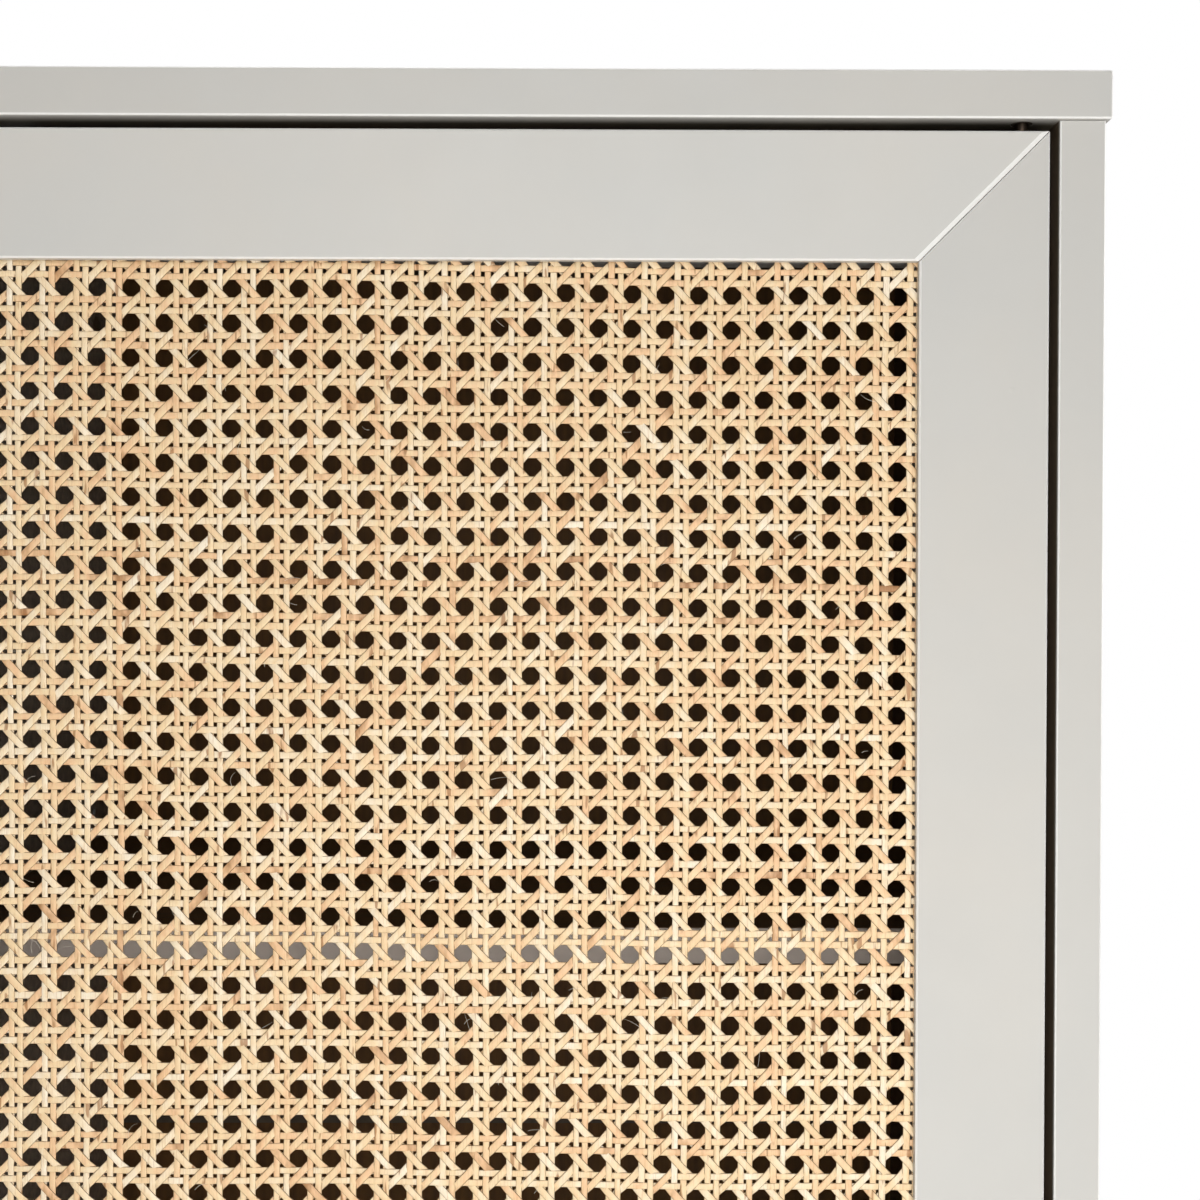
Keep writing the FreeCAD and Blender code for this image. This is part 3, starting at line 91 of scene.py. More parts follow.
class Nodes:
    """A short way to write a node tree."""

    def __init__(self, name):
        self.material = bpy.data.materials.new(name)
        self.material.use_nodes = True
        self.tree = self.material.node_tree
        self.tree.nodes.clear()
        self.output = self.tree.nodes.new("ShaderNodeOutputMaterial")

    def add(self, kind, settings=None, **inputs):
        node = self.tree.nodes.new("ShaderNode" + kind)
        for name, value in (settings or {}).items():
            setattr(node, name, value)
        for name, value in inputs.items():
            self.feed(node, name.replace("_", " "), value)
        return node

    def feed(self, node, name, value):
        socket = node.inputs[int(name)] if name.isdigit() else node.inputs[name]
        if isinstance(value, bpy.types.NodeSocket):
            self.tree.links.new(value, socket)
        else:
            socket.default_value = value

    def object_place(self, stretch=(1, 1, 1), turn=(0, 0, 0)):
        place = self.add("TexCoord").outputs["Object"]
        mapping = self.add("Mapping", Vector=place)
        mapping.inputs["Scale"].default_value = stretch
        mapping.inputs["Rotation"].default_value = turn
        return mapping.outputs["Vector"]

    def facing(self, axis):
        """How far the surface looks along an axis of its own body, the same when a door turns."""
        return self.add("SeparateXYZ", Vector=self.add("TexCoord").outputs["Normal"]).outputs[axis]

    def noise(self, place, scale, detail=3.0, roughness=0.5):
        node = self.add("TexNoise", Vector=place, Scale=scale, Detail=detail, Roughness=roughness)
        return node.outputs["Fac"]

    def ramp(self, value, stops):
        node = self.add("ValToRGB", Fac=value)
        points = node.color_ramp.elements
        while len(points) < len(stops):
            points.new(0.5)
        for point, (position, colour) in zip(points, stops):
            point.position = position
            point.color = colour if len(colour) == 4 else (*colour, 1)
        return node.outputs["Color"]

    def spread(self, value, low, high, to_low, to_high):
        """Value from low..high mapped to to_low..to_high, held at the ends."""
        node = self.add("MapRange", Value=value)
        names = ("From Min", "From Max", "To Min", "To Max")
        for name, number in zip(names, (low, high, to_low, to_high)):
            node.inputs[name].default_value = number
        return node.outputs["Result"]

    def two_tone(self, noise, low, high):
        return self.ramp(noise, [(NOISE_LOW, low), (NOISE_HIGH, high)])

    def dullness(self, noise, low, high):
        """A roughness that follows a noise."""
        return self.spread(noise, NOISE_LOW, NOISE_HIGH, low, high)

    def maths(self, operation, first, second):
        node = self.add("Math", {"operation": operation})
        self.feed(node, "0", first)
        self.feed(node, "1", second)
        return node.outputs[0]

    def mix(self, amount, first, second):
        node = self.add("Mix", {"data_type": "RGBA"})
        self.feed(node, "0", amount)
        self.feed(node, "6", first)
        self.feed(node, "7", second)
        return node.outputs[2]

    def bump(self, height, distance, strength=1.0, normal=None):
        node = self.add("Bump", Height=height, Distance=distance, Strength=strength)
        if normal is not None:
            self.feed(node, "Normal", normal)
        return node.outputs["Normal"]

    def finish(self, **inputs):
        shader = self.add("BsdfPrincipled", **inputs)
        self.tree.links.new(shader.outputs["BSDF"], self.output.inputs["Surface"])
        return self.material


def grey(value):
    return (value, value, value, 1)


def shade(colour, share):
    return tuple(c * share for c in colour)


# ---------------------------------------------------------------- materials
LACQUER = (0.600, 0.588, 0.560)
LACQUER_WARM = (0.612, 0.592, 0.556)
LACQUER_COOL = (0.588, 0.582, 0.560)
RAIL_PAINTED_LIGHT = 1.07                # painted light: the rails' lacquer is made a shade paler than the boards' for the brighter light on them
# Painted light on the stiles: a hair paler than the boards, a shade deeper than the rails.
STILE_PAINTED_LIGHT = 1.005
PEEL_DEPTH = 0.02 * MM
WAVE_DEPTH = 0.10 * MM
PIP_DEPTH = 0.15 * MM
# Painted highlight colour for the narrow bevels, standing in for the light they catch.
EDGE_HIGHLIGHT = (0.92, 0.91, 0.89, 1)
# The bevels slope by more than the edges of a board and less than its front face.
EDGE_SLOPE = (0.30, 0.40)
FACE_SLOPE = (0.93, 0.97)

# Dark and light tones of the painted shade on the inner faces of the boards.
INNER_SHADE = ((0.066, 0.056, 0.042), (0.100, 0.084, 0.062))
SIDE_INNER_SHADE = ((0.095, 0.068, 0.042), (0.135, 0.096, 0.060))
FLOOR_INNER_SHADE = ((0.220, 0.135, 0.066), (0.300, 0.190, 0.100))
# How far the light paint wraps round a front edge before the painted shade starts, and where that
# shade is full.
LEVEL_RETURN = (-2.0 * MM, 7.5 * MM)
SIDE_RETURN = (0.0 * MM, 2.5 * MM)
SHELF_FACE = (0.220, 0.125, 0.058)
SHELF_EDGE = (0.98, 0.85, 0.75)
DIVIDER_FACE = (0.50, 0.43, 0.36)
FACE_CONTRAST = 0.25
BAND_CONTRAST = 0.05
# How squarely a face has to look inward to carry the painted shade, and forward to carry the light
# band.
INWARD_SLOPE = (0.5, 0.8)
BAND_SLOPE = (-0.9, -0.6)
GRAIN_DEPTH = 0.03 * MM
BACK_TONES = ((0.165, 0.074, 0.018), (0.265, 0.126, 0.034))
BACK_DEPTH = 0.06 * MM
BEECH_TONES = ((0.50, 0.32, 0.17), (0.70, 0.50, 0.30))
BEECH_FLECK = (0.34, 0.20, 0.10, 1)
BEECH_DEPTH = 0.05 * MM


def painted_inner_shade(n, colour, axis, hand, tones):
    """Painted shade on the inner face of a board, the side that looks along an axis (hand -1 or
    +1), fading in just behind the front edge.
    """
    depth = n.add("SeparateXYZ", Vector=n.object_place()).outputs["Y"]
    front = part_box("right_door_top_rail")[0].y
    inward = n.spread(n.maths("MULTIPLY", n.facing(axis), hand), *INWARD_SLOPE, 0.0, 1.0)
    start, full = SIDE_RETURN if axis == "X" else LEVEL_RETURN
    behind = n.spread(depth, front + start, front + full, 0.0, 1.0)
    grain = n.noise(n.object_place((1, 6, 6)), 40.0, 5.0, 0.6)
    shade_tone = n.two_tone(grain, *tones)
    return n.mix(n.maths("MULTIPLY", inward, behind), colour, shade_tone)


def painted_edge_highlight(n, colour):
    """Painted highlight: the narrow bevels between a front face and its edges are painted paler,
    for the light they catch.
    """
    slope = n.maths("ABSOLUTE", n.facing("Y"), 0.0)
    over = n.spread(slope, *EDGE_SLOPE, 0.0, 1.0)
    under = n.spread(slope, *FACE_SLOPE, 1.0, 0.0)
    return n.mix(n.maths("MULTIPLY", over, under), colour, EDGE_HIGHLIGHT)


def lacquer(name, lift=1.0, inside=None, edge_highlight=True):
    """Satin lacquer rolled on fibreboard: faint mottling, orange peel and a few pips. Inner faces
    can carry painted shade, and the bevels a painted highlight.
    """
    n = Nodes(name)
    place = n.object_place()
    cloud = n.noise(place, 9.0, 4.0, 0.55)
    colour = n.ramp(cloud, [
        (0.35, shade(LACQUER_COOL, lift)), (0.5, shade(LACQUER, lift)),
        (0.66, shade(LACQUER_WARM, lift))])
    if inside:
        colour = painted_inner_shade(n, colour, *inside)
    if edge_highlight:
        colour = painted_edge_highlight(n, colour)
    peel = n.noise(place, 620.0, 2.0, 0.5)
    wave = n.noise(place, 60.0, 2.0, 0.5)
    pips = n.add("TexVoronoi", {"feature": "F1"}, Vector=place, Scale=26.0).outputs["Distance"]
    pip = n.spread(pips, 0.0, 0.035, 1.0, 0.0)
    normal = n.bump(peel, PEEL_DEPTH, 0.55)
    normal = n.bump(wave, WAVE_DEPTH, 0.35, normal)
    normal = n.bump(pip, PIP_DEPTH, 0.7, normal)
    rough = n.dullness(n.noise(place, 34.0, 3.0), 0.40, 0.52)
    return n.finish(Base_Color=colour, Roughness=rough, Normal=normal)


def banded_board(name, face, edge):
    """A dark melamine-faced board whose front edge carries a light band."""
    n = Nodes(name)
    place = n.object_place((1, 6, 6))
    grain = n.noise(place, 40.0, 5.0, 0.6)
    dark = n.two_tone(grain, shade(face, 1 - FACE_CONTRAST), shade(face, 1 + FACE_CONTRAST))
    cloud = n.noise(n.object_place(), 30.0)
    light = n.two_tone(cloud, shade(edge, 1 - BAND_CONTRAST), edge)
    front = n.spread(n.facing("Y"), *BAND_SLOPE, 1.0, 0.0)
    colour = n.mix(front, dark, light)
    normal = n.bump(grain, GRAIN_DEPTH, 0.5)
    rough = n.dullness(grain, 0.42, 0.55)
    return n.finish(Base_Color=colour, Roughness=rough, Normal=normal)


def back_board(name):
    """Thin hardboard with a dark printed face."""
    n = Nodes(name)
    place = n.object_place((9, 9, 1))
    fibre = n.noise(place, 26.0, 6.0, 0.62)
    colour = n.two_tone(fibre, *BACK_TONES)
    normal = n.bump(fibre, BACK_DEPTH, 0.6)
    rough = n.dullness(fibre, 0.55, 0.72)
    return n.finish(Base_Color=colour, Roughness=rough, Normal=normal)


def raw_wood(name):
    """Plain beech: fine straight grain with short darker flecks."""
    n = Nodes(name)
    rings = n.noise(n.object_place((14, 14, 1)), 22.0, 5.0, 0.6)
    flecks = n.noise(n.object_place((60, 60, 8)), 30.0, 2.0, 0.5)
    colour = n.two_tone(rings, *BEECH_TONES)
    fleck = n.spread(flecks, 0.60, 0.70, 0.0, 0.45)
    colour = n.mix(fleck, colour, BEECH_FLECK)
    return n.finish(
        Base_Color=colour,
        Roughness=n.dullness(rings, 0.5, 0.66),
        Normal=n.bump(rings, BEECH_DEPTH, 0.6))


def moulded(name, low, high, rough_low, rough_high, scale=900.0, through=0.0):
    """Moulded plastic, rubber or a sintered part: fine tooled grain and a slight cloudiness."""
    n = Nodes(name)
    place = n.object_place()
    grain = n.noise(place, scale, 2.0)
    cloud = n.noise(place, 90.0, 3.0)
    colour = n.two_tone(cloud, low, high)
    rough = n.dullness(grain, rough_low, rough_high)
    normal = n.bump(grain, GRAIN_DEPTH, 0.5)
    return n.finish(Base_Color=colour, Roughness=rough, Normal=normal, Transmission_Weight=through)


def plated(name, low, high, stretch):
    """Zinc-plated steel or casting: drawn lines, dull patches."""
    n = Nodes(name)
    lines = n.noise(n.object_place(stretch), 120.0, 3.0)
    patch = n.noise(n.object_place(), 45.0, 4.0)
    colour = n.two_tone(patch, low, high)
    rough = n.dullness(lines, 0.26, 0.46)
    normal = n.bump(lines, GRAIN_DEPTH, 0.5)
    return n.finish(Base_Color=colour, Metallic=1.0, Roughness=rough, Normal=normal)


CANE_PALE = (0.98, 0.86, 0.67)
CANE_STRAW = (0.92, 0.70, 0.42)
CANE_PEACH = (0.89, 0.57, 0.32)
CANE_BROWN = (0.42, 0.20, 0.075)
CANE_LINE = (0.66, 0.40, 0.19, 1)
CANE_FLECK = (0.38, 0.155, 0.045, 1)
# Painted shade colour for the strand edges.
CANE_EDGE_SHADE = (0.24, 0.115, 0.040, 1)
FIBRE_DEPTH = 0.06 * MM


def cane(name, turn):
    """Split cane: fine lines along each strand, peach patches, brown flecks and painted shade
    along the strand edges.
    """
    n = Nodes(name)
    tone = n.add("Attribute", {"attribute_name": "tone"}).outputs["Fac"]
    along = n.object_place((1, 1, 0.045), turn)
    fibre = n.noise(along, 2600.0, 2.0, 0.6)
    patch = n.noise(n.object_place((1, 1, 0.4), turn), 150.0, 3.0, 0.6)
    age = n.maths("ADD", n.maths("MULTIPLY", tone, 0.40), n.maths("MULTIPLY", patch, 0.78))
    colour = n.ramp(age, [
        (0.30, CANE_PALE), (0.55, CANE_STRAW), (0.74, CANE_PEACH), (0.92, CANE_BROWN)])
    line = n.spread(fibre, 0.52, 0.72, 0.0, 0.42)
    colour = n.mix(line, colour, CANE_LINE)
    specks = n.noise(n.object_place((1, 1, 0.16), turn), 330.0, 2.0, 0.5)
    fleck = n.spread(specks, 0.66, 0.71, 0.0, 0.75)
    colour = n.mix(fleck, colour, CANE_FLECK)
    # Painted shade along the edges of each strand.
    edge_shade = n.add("Attribute", {"attribute_name": "edge_shade"}).outputs["Fac"]
    colour = n.mix(n.spread(edge_shade, 0.15, 0.85, 0.0, 0.86), colour, CANE_EDGE_SHADE)
    rough = n.dullness(fibre, 0.34, 0.56)
    normal = n.bump(fibre, FIBRE_DEPTH, 0.7)
    return n.finish(Base_Color=colour, Roughness=rough, Normal=normal)


HAIR_TONES = ((0.86, 0.76, 0.60), (0.98, 0.93, 0.84))


def fibre_hair(name):
    """A pale loose fibre."""
    n = Nodes(name)
    streak = n.noise(n.object_place(), 700.0)
    colour = n.two_tone(streak, *HAIR_TONES)
    return n.finish(Base_Color=colour, Roughness=n.dullness(streak, 0.4, 0.6))


def floor_paint(name):
    """Pale floor near the cabinet, which fades into the white backdrop further out."""
    n = Nodes(name)
    place = n.object_place()
    cloud = n.noise(place, 3.0, 4.0)
    colour = n.two_tone(cloud, *FLOOR_TONES)
    n.finish(Base_Color=colour, Roughness=n.dullness(cloud, 0.6, 0.7))
    paint = n.output.inputs["Surface"].links[0].from_socket
    white = n.add("Emission", Color=grey(1.0), Strength=1.0).outputs[0]
    distance = n.add("VectorMath", {"operation": "LENGTH"})
    n.feed(distance, "0", place)
    seen = n.add("LightPath").outputs["Is Camera Ray"]
    far = n.spread(distance.outputs["Value"], FLOOR_PALE, FLOOR_WHITE, 0.0, 1.0)
    blend = n.add("MixShader")
    n.feed(blend, "0", n.maths("MULTIPLY", far, seen))
    n.feed(blend, "1", paint)
    n.feed(blend, "2", white)
    n.tree.links.new(blend.outputs[0], n.output.inputs["Surface"])
    return n.material


def paint_frame_nodes():
    """Gives each carried-over part the finish that its slot in the record names, or its own finish
    where one is listed.
    """
    finishes = {
        "lacquered_board": lacquer("board_lacquer"),
        "lacquered_door_frame": lacquer("rail_lacquer", RAIL_PAINTED_LIGHT),
        "lacquered_knob": lacquer("knob_lacquer", edge_highlight=False),
        "lacquered_bead": lacquer("bead_lacquer", edge_highlight=False),
        "shelf_board": banded_board("shelf_melamine", SHELF_FACE, SHELF_EDGE),
        "back_board": back_board("back_hardboard"),
        "woven_cane": cane("cane_core", (0, 0, 0)),
        "black_plastic": moulded(
            "black_plastic", (0.030, 0.022, 0.015), (0.050, 0.038, 0.027), 0.45, 0.6),
        "black_steel": plated(
            "black_steel", (0.040, 0.028, 0.020), (0.07, 0.052, 0.040), (1, 1, 12)),
        "raw_wood": raw_wood("beech"),
        "white_plastic": moulded(
            "white_plastic", (0.72, 0.71, 0.68), (0.80, 0.79, 0.76), 0.38, 0.5),
        "clear_rubber": moulded(
            "clear_rubber", (0.70, 0.70, 0.67), (0.80, 0.80, 0.77), 0.2, 0.34, 300.0, 0.5),
        "magnet": moulded("magnet", (0.045, 0.045, 0.047), (0.085, 0.083, 0.08), 0.5, 0.7, 1600.0),
        "cast_cam": plated("cast_cam", (0.42, 0.42, 0.42), (0.58, 0.58, 0.57), (1, 1, 1)),
        "zinc_steel": plated("zinc_steel", (0.58, 0.58, 0.60), (0.74, 0.74, 0.74), (1, 1, 12)),
    }
    # The boards that close the carcass are light outside, with painted shade on their inner faces.
    # The stiles carry less painted light than the rails, so they are a shade deeper.
    stile = lacquer("stile_lacquer", STILE_PAINTED_LIGHT)
    own_finishes = {
        "top_panel": lacquer("top_lacquer", 1.0, ("Z", -1, INNER_SHADE)),
        "bottom_panel": lacquer("bottom_lacquer", 1.0, ("Z", 1, FLOOR_INNER_SHADE)),
        "left_side_panel": lacquer("left_side_lacquer", 1.0, ("X", 1, SIDE_INNER_SHADE)),
        "right_side_panel": lacquer("right_side_lacquer", 1.0, ("X", -1, SIDE_INNER_SHADE)),
        "centre_divider": banded_board("divider_melamine", DIVIDER_FACE, LACQUER),
        # Painted shade: the back joint strip gets a dark brown-grey that stands in for the shade
        # at the back of the carcass.
        "back_joint_strip": moulded(
            "joint_strip_painted_shade", (0.15, 0.11, 0.075), (0.19, 0.145, 0.10), 0.5, 0.62),
        "left_door_hinge_stile": stile,
        "left_door_meeting_stile": stile,
        "right_door_hinge_stile": stile,
        "right_door_meeting_stile": stile,
    }
    for part in frame["record"]["subparts"]:
        finish = own_finishes.get(part["node"], finishes[part["material_slot"]])
        for place in frame["nodes"][part["node"]].material_slots:
            place.material = finish


# ---------------------------------------------------------------- woven cane
# One cell of the weave holds one eight-sided hole. Pairs of uprights and pairs of crossing
# strands run halfway between the holes, and two sets of diagonals cross on those pairs.
CELL_WIDTH = 12.40 * MM
CELL_HEIGHT = 12.98 * MM
ROW_DROP = 0.123 * MM           # how far each row falls per cell to the right
UPRIGHT_WIDTH = 2.42 * MM
CROSS_WIDTH = 2.62 * MM
DIAGONAL_WIDTH = 2.80 * MM
STRAND_THICKNESS = 0.44 * MM
UPRIGHT_SPLIT = 1.72 * MM       # from a pair's middle to each strand's middle
CROSS_SPLIT = 1.92 * MM
WEAVE_HEIGHT = 0.22 * MM
DIAGONAL_HEIGHT = 0.47 * MM
EDGE_CLEARANCE = 1.0 * MM       # strands stop this far inside the rebate
FEWEST_POINTS = 3               # shorter strands are left out
WANDER = 0.32 * MM              # slow drift of the whole grid
STRAND_SLIP = 0.10              # spread of each strand's place, in millimetres
UPRIGHT_SWAY = 0.10 * MM
CROSS_SWAY = 0.08 * MM
WIDTH_SPREAD = 0.05             # share of a strand's width
WIDTH_SWAY = 0.04
TONE_SWAY = 0.12
TONE_MIX = (2.0, 2.6)           # shape of the random tones, slightly more of them pale
WOBBLE_WAVES = (2, 5, 11)       # waves over a strand's length
WOBBLE_SIZE = 1.7

# Height steps along one cell of a strand: (place in the cell, share of the full height).
STRAIGHT_STEPS = [(0.0, 0.0), (0.22, 0.45), (0.35, 1.0), (0.50, 0.0), (0.65, -1.0), (0.78, -0.45)]
DIAGONAL_STEPS = [(0.0, 1.0), (0.19, 0.85), (0.25, 0.0), (0.31, -0.85),
                  (0.5, -1.0), (0.69, -0.85), (0.75, 0.0), (0.81, 0.85)]
# A strand's section: (share of half the width, share of half the thickness).
SECTION = [(-1.0, -0.1), (-0.80, 0.86), (0.80, 0.86), (1.0, -0.1), (0.0, -0.9)]
EDGE_SHADE_SHARES = [1.0, 0.0, 0.0, 1.0, 0.1]  # painted shade: the strand edges are darker than the skin and the pith, for the contact shadow between strands

FALLING = math.radians(-45)
RISING = math.radians(45)


class Weave:
    """Where the cells of one door's cane lie. Column and row numbers are whole at the holes."""

    def __init__(self, side, last_column, first_row, seed):
        low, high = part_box(f"{side}_door_cane")
        self.side = side
        self.left = low.x + EDGE_CLEARANCE
        self.right = high.x - EDGE_CLEARANCE
        self.bottom = low.z + EDGE_CLEARANCE
        self.top = high.z - EDGE_CLEARANCE
        self.depth = (low.y + high.y) / 2
        self.last_column = last_column
        self.first_row = first_row
        self.random = np.random.default_rng(seed)
        self.phases = self.random.uniform(0, 2 * math.pi, 8)
        reach = (self.right - self.left) / CELL_WIDTH
        drop = (self.top - self.bottom) / CELL_HEIGHT
        # A few cells more on each side, so that the strands reach the edges.
        self.columns = range(-int(reach) - 2, 3)
        self.rows = range(-3, int(drop) + 5)

    def at(self, column, row):
        """The place of a cell number, with the slow wander that a stretched sheet of cane has."""
        x = self.last_column + column * CELL_WIDTH
        z = self.first_row - row * CELL_HEIGHT - column * ROW_DROP
        # Wave numbers in radians per metre: a slow drift with a finer one on top.
        p = self.phases
        dx = WANDER * (np.sin(x * 23 + p[0]) * np.sin(z * 19 + p[1]) + 0.5 * np.sin(z * 61 + p[2]))
        dz = WANDER * (np.sin(x * 29 + p[3]) * np.sin(z * 17 + p[4]) + 0.5 * np.sin(x * 67 + p[5]))
        return x + dx, z + dz

    def inside(self, x, z):
        return (x >= self.left) & (x <= self.right) & (z >= self.bottom) & (z <= self.top)


def strand(weave, columns, rows, heights, shift):
    """Centre line of one strand, cut to the rebate, or None if it misses the door."""
    x, z = weave.at(columns, rows)
    x = x + shift[0]
    z = z + shift[1]
    kept = weave.inside(x, z)
    if kept.sum() < FEWEST_POINTS:
        return None
    y = weave.depth - heights
    return np.stack([x, y, z], 1)[kept]


def wobble(weave, count, amount):
    """A slow random line, for the width or place of a strand."""
    steps = np.linspace(0, 1, count)
    line = np.zeros(count)
    for wave in WOBBLE_WAVES:
        height = weave.random.normal(0, 1)
        line += height * np.sin(2 * math.pi * wave * steps + weave.random.uniform(0, 6.28))
    return amount * line / WOBBLE_SIZE


def straight_strands(weave, upright, hand):
    """The left (-1) or right (1) uprights, or the upper (-1) or lower (1) crossing strands."""
    lines = []
    run = weave.rows if upright else weave.columns
    across = weave.columns if upright else weave.rows
    steps = [(cell + place, share) for cell in run for place, share in STRAIGHT_STEPS]
    places = np.array([s[0] for s in steps])
    shares = np.array([s[1] for s in steps])
    # A left upright rides over the upper crossing strand, and a right one under it.
    # The upper crossing strand dips under the left upright, and the lower one rises over it.
    heights = shares * WEAVE_HEIGHT * (-hand if upright else hand)
    for cell in across:
        middle = np.full(len(places), cell + 0.5)
        slip = weave.random.normal(0, STRAND_SLIP) * MM
        if upright:
            sway = wobble(weave, len(places), UPRIGHT_SWAY)
            shift = (hand * UPRIGHT_SPLIT + slip + sway, 0)
            points = strand(weave, middle, places, heights, shift)
        else:
            sway = wobble(weave, len(places), CROSS_SWAY)
            shift = (0, -hand * CROSS_SPLIT + slip + sway)
            points = strand(weave, places, middle, heights, shift)
        if points is not None:
            lines.append(points)
    return lines


def diagonal_strands(weave, falling):
    """Diagonals that fall to the right pass over the uprights, and those that rise pass over the
    crossing strands."""
    lines = []
    cells = len(weave.columns) + len(weave.rows)
    steps = [
        (cell + place, share) for cell in range(-cells, cells) for place, share in DIAGONAL_STEPS]
    run = np.array([s[0] for s in steps])
    shares = np.array([s[1] for s in steps])
    for number in range(-cells, cells):
        columns = run + 0.5
        if falling:
            rows = run + number
            heights = shares * DIAGONAL_HEIGHT
        else:
            rows = -run + number
            heights = -shares * DIAGONAL_HEIGHT
        slip = weave.random.normal(0, STRAND_SLIP) * MM
        points = strand(weave, columns, rows, heights, (slip, 0))
        if points is not None:
            lines.append(points)
    return lines


def strand_piece(weave, name, lines, width_of_strand, material):
    """One mesh of closed strands, each a flat split of cane with a domed skin."""
    points, faces, tones, edge_shades = [], [], [], []
    corners = len(SECTION)
    start = 0
    for line in lines:
        count = len(line)
        run = np.gradient(line, axis=0)
        run[:, 1] = 0
        run /= np.linalg.norm(run, axis=1)[:, None]
        sideways = np.stack([run[:, 2], np.zeros(count), -run[:, 0]], 1)
        share = weave.random.normal(1, WIDTH_SPREAD)
        width = width_of_strand * share * (1 + wobble(weave, count, WIDTH_SWAY))
        tone = weave.random.beta(*TONE_MIX) + wobble(weave, count, TONE_SWAY)
        for (across, up), edge_shade in zip(SECTION, EDGE_SHADE_SHARES):
            ring = line + sideways * (across * width / 2)[:, None]
            ring[:, 1] -= up * STRAND_THICKNESS / 2
            points.append(ring)
            tones.append(tone)
            edge_shades.append(np.full(count, edge_shade))
        for i in range(count - 1):
            for corner in range(corners):
                after = (corner + 1) % corners
                faces.append((
                    start + corner * count + i, start + corner * count + i + 1,
                    start + after * count + i + 1, start + after * count + i))
        faces.append(tuple(start + corner * count for corner in range(corners)))
        faces.append(tuple(
            start + corner * count + count - 1 for corner in reversed(range(corners))))
        start += corners * count
    mesh = bpy.data.meshes.new(name)
    mesh.from_pydata(np.concatenate(points).tolist(), [], faces)
    mesh.polygons.foreach_set("use_smooth", [True] * len(mesh.polygons))
    for layer_name, values in (("tone", tones), ("edge_shade", edge_shades)):
        layer = mesh.attributes.new(layer_name, "FLOAT", "POINT")
        layer.data.foreach_set("value", np.concatenate(values).astype(np.float32))
    mesh.materials.append(material)
    piece = bpy.data.objects.new(name, mesh)
    bpy.context.scene.collection.objects.link(piece)
    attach(piece, f"{weave.side}_door")
    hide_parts(f"{weave.side}_door_cane")


HAIR_RADIUS = 0.085 * MM
HAIRS_PER_DOOR = 300
# Fibres start inside these limits, in cells of the weave.
HAIR_LEFT, HAIR_RIGHT, HAIR_TOP, HAIR_BOTTOM = 3, -0.5, 1, 4
HAIR_LENGTH = (3.0, 8.0)        # millimetres
HAIR_FRONT = (0.75, 1.2)        # millimetres in front of the middle of the sheet
HAIR_CURL = 0.9
HAIR_TAPER = 0.6                # share of the radius lost at the tip
HAIR_RINGS = 7
HAIR_SIDES = 3


def loose_fibres(weave, name, material):
    """Thin fibres that have sprung off the strands and lie across the holes."""
    points, faces = [], []
    for _ in range(HAIRS_PER_DOOR):
        x, z = weave.at(
            weave.random.uniform(weave.columns[0] + HAIR_LEFT, HAIR_RIGHT),
            weave.random.uniform(HAIR_TOP, weave.rows[-1] - HAIR_BOTTOM))
        heading = weave.random.uniform(0, math.pi)
        length = weave.random.uniform(*HAIR_LENGTH) * MM
        curl = weave.random.normal(0, HAIR_CURL)
        front = weave.depth - weave.random.uniform(*HAIR_FRONT) * MM
        start = len(points)
        for i in range(HAIR_RINGS):
            angle = heading + curl * (i / (HAIR_RINGS - 1) - 0.5)
            x += math.cos(angle) * length / HAIR_RINGS
            z += math.sin(angle) * length / HAIR_RINGS
            thin = HAIR_RADIUS * (1 - HAIR_TAPER * i / (HAIR_RINGS - 1))
            for turn in range(HAIR_SIDES):
                a = turn * 2 * math.pi / HAIR_SIDES
                points.append((
                    x - math.sin(angle) * math.cos(a) * thin, front + math.sin(a) * thin,
                    z + math.cos(angle) * math.cos(a) * thin))
        for i in range(HAIR_RINGS - 1):
            for turn in range(HAIR_SIDES):
                ring = start + HAIR_SIDES * i
                a, b = ring + turn, ring + (turn + 1) % HAIR_SIDES
                faces.append((a, b, b + HAIR_SIDES, a + HAIR_SIDES))
        faces.append((start + 2, start + 1, start))
        last = start + HAIR_SIDES * (HAIR_RINGS - 1)
        faces.append((last, last + 1, last + 2))
    mesh = bpy.data.meshes.new(name)
    mesh.from_pydata([tuple(float(c) for c in p) for p in points], [], faces)
    mesh.polygons.foreach_set("use_smooth", [True] * len(mesh.polygons))
    mesh.materials.append(material)
    piece = bpy.data.objects.new(name, mesh)
    bpy.context.scene.collection.objects.link(piece)
    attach(piece, f"{weave.side}_door")


def weave_cane(side, last_column, first_row, seed, finishes):
    weave = Weave(side, last_column, first_row, seed)
    name = f"{side}_door_cane"
    upright, crossing, falling, rising, hair = finishes
    for part, strands, way, width, material in (
            ("left_uprights", straight_strands, (True, -1), UPRIGHT_WIDTH, upright),
            ("right_uprights", straight_strands, (True, 1), UPRIGHT_WIDTH, upright),
            ("upper_crosses", straight_strands, (False, -1), CROSS_WIDTH, crossing),
            ("lower_crosses", straight_strands, (False, 1), CROSS_WIDTH, crossing),
            ("falling_diagonals", diagonal_strands, (True,), DIAGONAL_WIDTH, falling),
            ("rising_diagonals", diagonal_strands, (False,), DIAGONAL_WIDTH, rising)):
        strand_piece(weave, f"{name}_{part}", strands(weave, *way), width, material)
    loose_fibres(weave, f"{name}_loose_fibres", hair)


# Where the grid of holes starts in each opening, from the opening's upper right corner.
RIGHT_DOOR_INSET = 6.8 * MM
RIGHT_DOOR_DROP = -0.4 * MM
LEFT_DOOR_INSET = 9.1 * MM
LEFT_DOOR_DROP = 3.2 * MM
RIGHT_SEED = 41
LEFT_SEED = 57


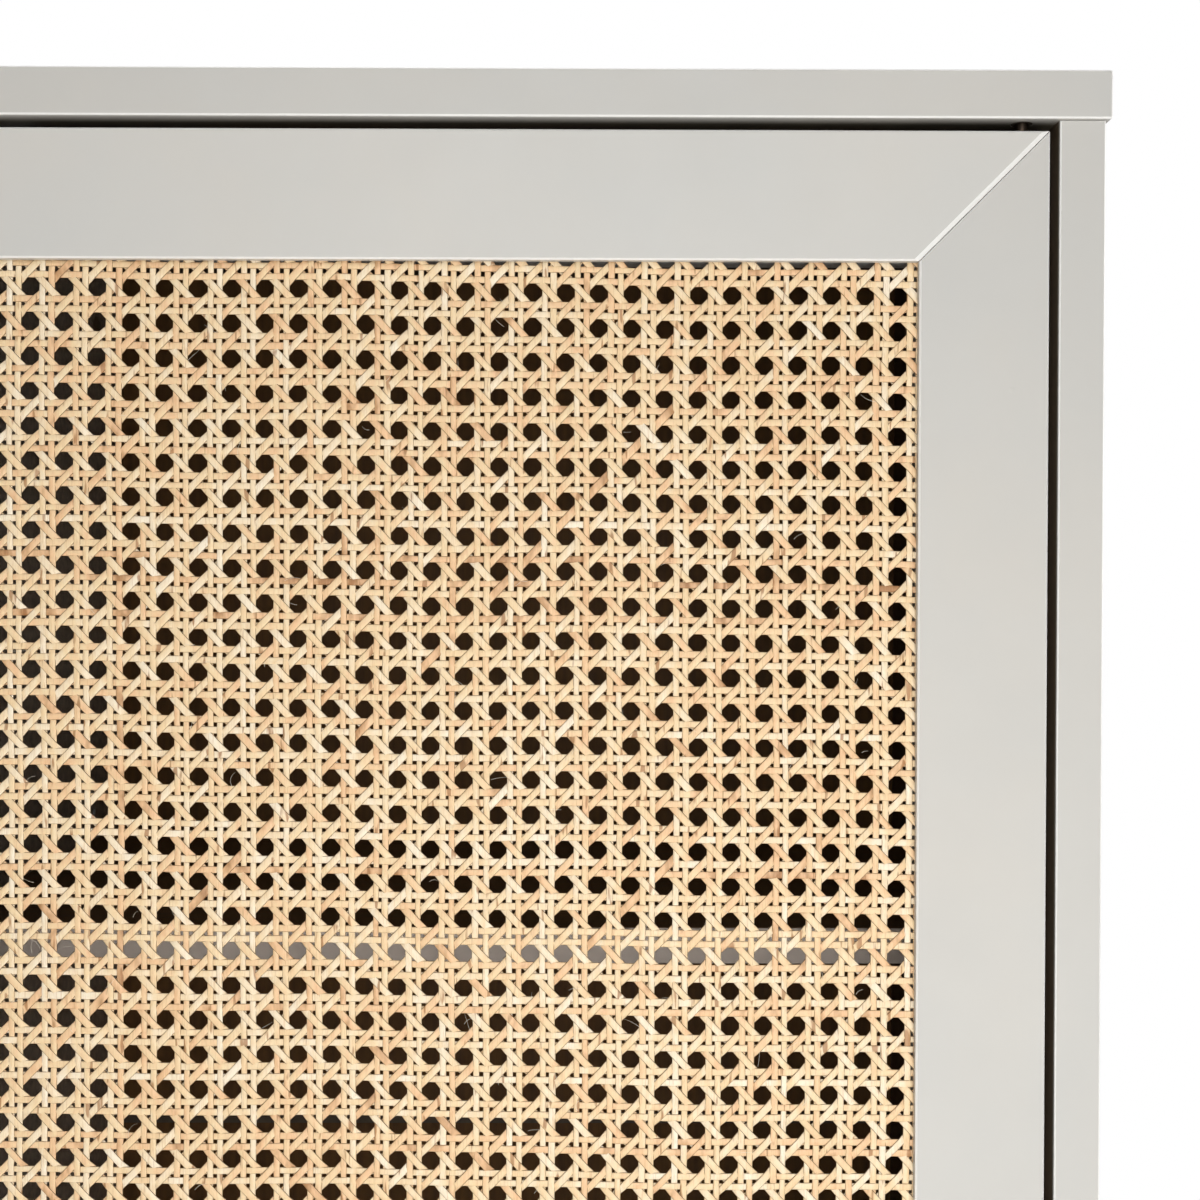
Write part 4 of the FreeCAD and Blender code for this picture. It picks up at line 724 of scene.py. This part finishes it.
def make_cane():
    finishes = (
        cane("cane_upright", (0, 0, 0)),
        cane("cane_crossing", (0, math.radians(90), 0)),
        cane("cane_falling", (0, FALLING, 0)),
        cane("cane_rising", (0, RISING, 0)),
        fibre_hair("cane_hair"))
    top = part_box("right_door_top_rail")[0].z
    right_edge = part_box("right_door_hinge_stile")[0].x
    left_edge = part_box("left_door_meeting_stile")[0].x
    weave_cane("right", right_edge - RIGHT_DOOR_INSET, top - RIGHT_DOOR_DROP, RIGHT_SEED, finishes)
    weave_cane("left", left_edge - LEFT_DOOR_INSET, top - LEFT_DOOR_DROP, LEFT_SEED, finishes)


# ---------------------------------------------------------------- floor and light
FLOOR_REACH = 4.0
FLOOR_DROP = 1 * MM             # floor under the feet
FLOOR_PALE = 0.8                # distance at which the floor starts to fade into the backdrop
FLOOR_WHITE = 1.5
FLOOR_TONES = (grey(0.78), grey(0.82))
WORLD_STRENGTH = 0.20
WORLD_TINT = (1.0, 0.995, 0.985, 1)
# Soft panels: place, point aimed at, side, power, colour.
LAMPS = {
    "near_front": ((0.42, -0.876, 0.62), (0.35, -0.16, 0.78), 0.6, 3.5, (1.0, 0.97, 0.92)),
    "high_front": ((0.270, -1.80, 1.50), (0.10, -0.16, 0.75), 1.2, 10.9, (0.985, 1.0, 1.0)),
    "left": ((-2.3, 0.75, 1.2), (-0.47, 0.05, 0.6), 1.0, 24.0, (1.0, 1.0, 1.0)),
    "right": ((2.3, 0.75, 1.2), (0.47, 0.05, 0.6), 1.0, 24.0, (1.0, 1.0, 1.0)),
    "above": ((0.0, 0.42, 2.9), (0.0, 0.42, 1.1), 0.9, 22.0, (1.0, 1.0, 1.0)),
    "behind": ((0.0, 2.6, 1.3), (0.0, 0.19, 0.6), 1.4, 28.0, (1.0, 1.0, 1.0)),
}


def make_floor():
    points = [(x, y, -FLOOR_DROP) for x, y in (
        (-FLOOR_REACH, -FLOOR_REACH), (FLOOR_REACH, -FLOOR_REACH),
        (FLOOR_REACH, FLOOR_REACH), (-FLOOR_REACH, FLOOR_REACH))]
    mesh = bpy.data.meshes.new("floor")
    mesh.from_pydata(points, [], [(0, 1, 2, 3)])
    mesh.materials.append(floor_paint("floor_paint"))
    floor = bpy.data.objects.new("floor", mesh)
    bpy.context.scene.collection.objects.link(floor)


def make_light():
    """A white studio: even light all round, soft panels and a plain white backdrop."""
    world = bpy.data.worlds.new("studio")
    bpy.context.scene.world = world
    world.use_nodes = True
    tree = world.node_tree
    tree.nodes.clear()
    output = tree.nodes.new("ShaderNodeOutputWorld")
    blend = tree.nodes.new("ShaderNodeMixShader")
    seen = tree.nodes.new("ShaderNodeBackground")
    seen.inputs["Strength"].default_value = 1.0
    seen.inputs["Color"].default_value = grey(1.0)
    around = tree.nodes.new("ShaderNodeBackground")
    around.inputs["Strength"].default_value = WORLD_STRENGTH
    around.inputs["Color"].default_value = WORLD_TINT
    rays = tree.nodes.new("ShaderNodeLightPath")
    tree.links.new(rays.outputs["Is Camera Ray"], blend.inputs[0])
    tree.links.new(around.outputs[0], blend.inputs[1])
    tree.links.new(seen.outputs[0], blend.inputs[2])
    tree.links.new(blend.outputs[0], output.inputs["Surface"])
    for name, (place, aim, side, power, colour) in LAMPS.items():
        lamp = bpy.data.lights.new(name, "AREA")
        lamp.size = side
        lamp.energy = power
        lamp.color = colour
        panel = bpy.data.objects.new(name, lamp)
        bpy.context.scene.collection.objects.link(panel)
        panel.location = place
        panel.rotation_euler = (Vector(aim) - Vector(place)).to_track_quat("-Z", "Y").to_euler()
        panel.visible_camera = False
    bpy.context.scene.view_settings.view_transform = "Standard"


make_camera()
paint_frame_nodes()
make_cane()
make_floor()
make_light()
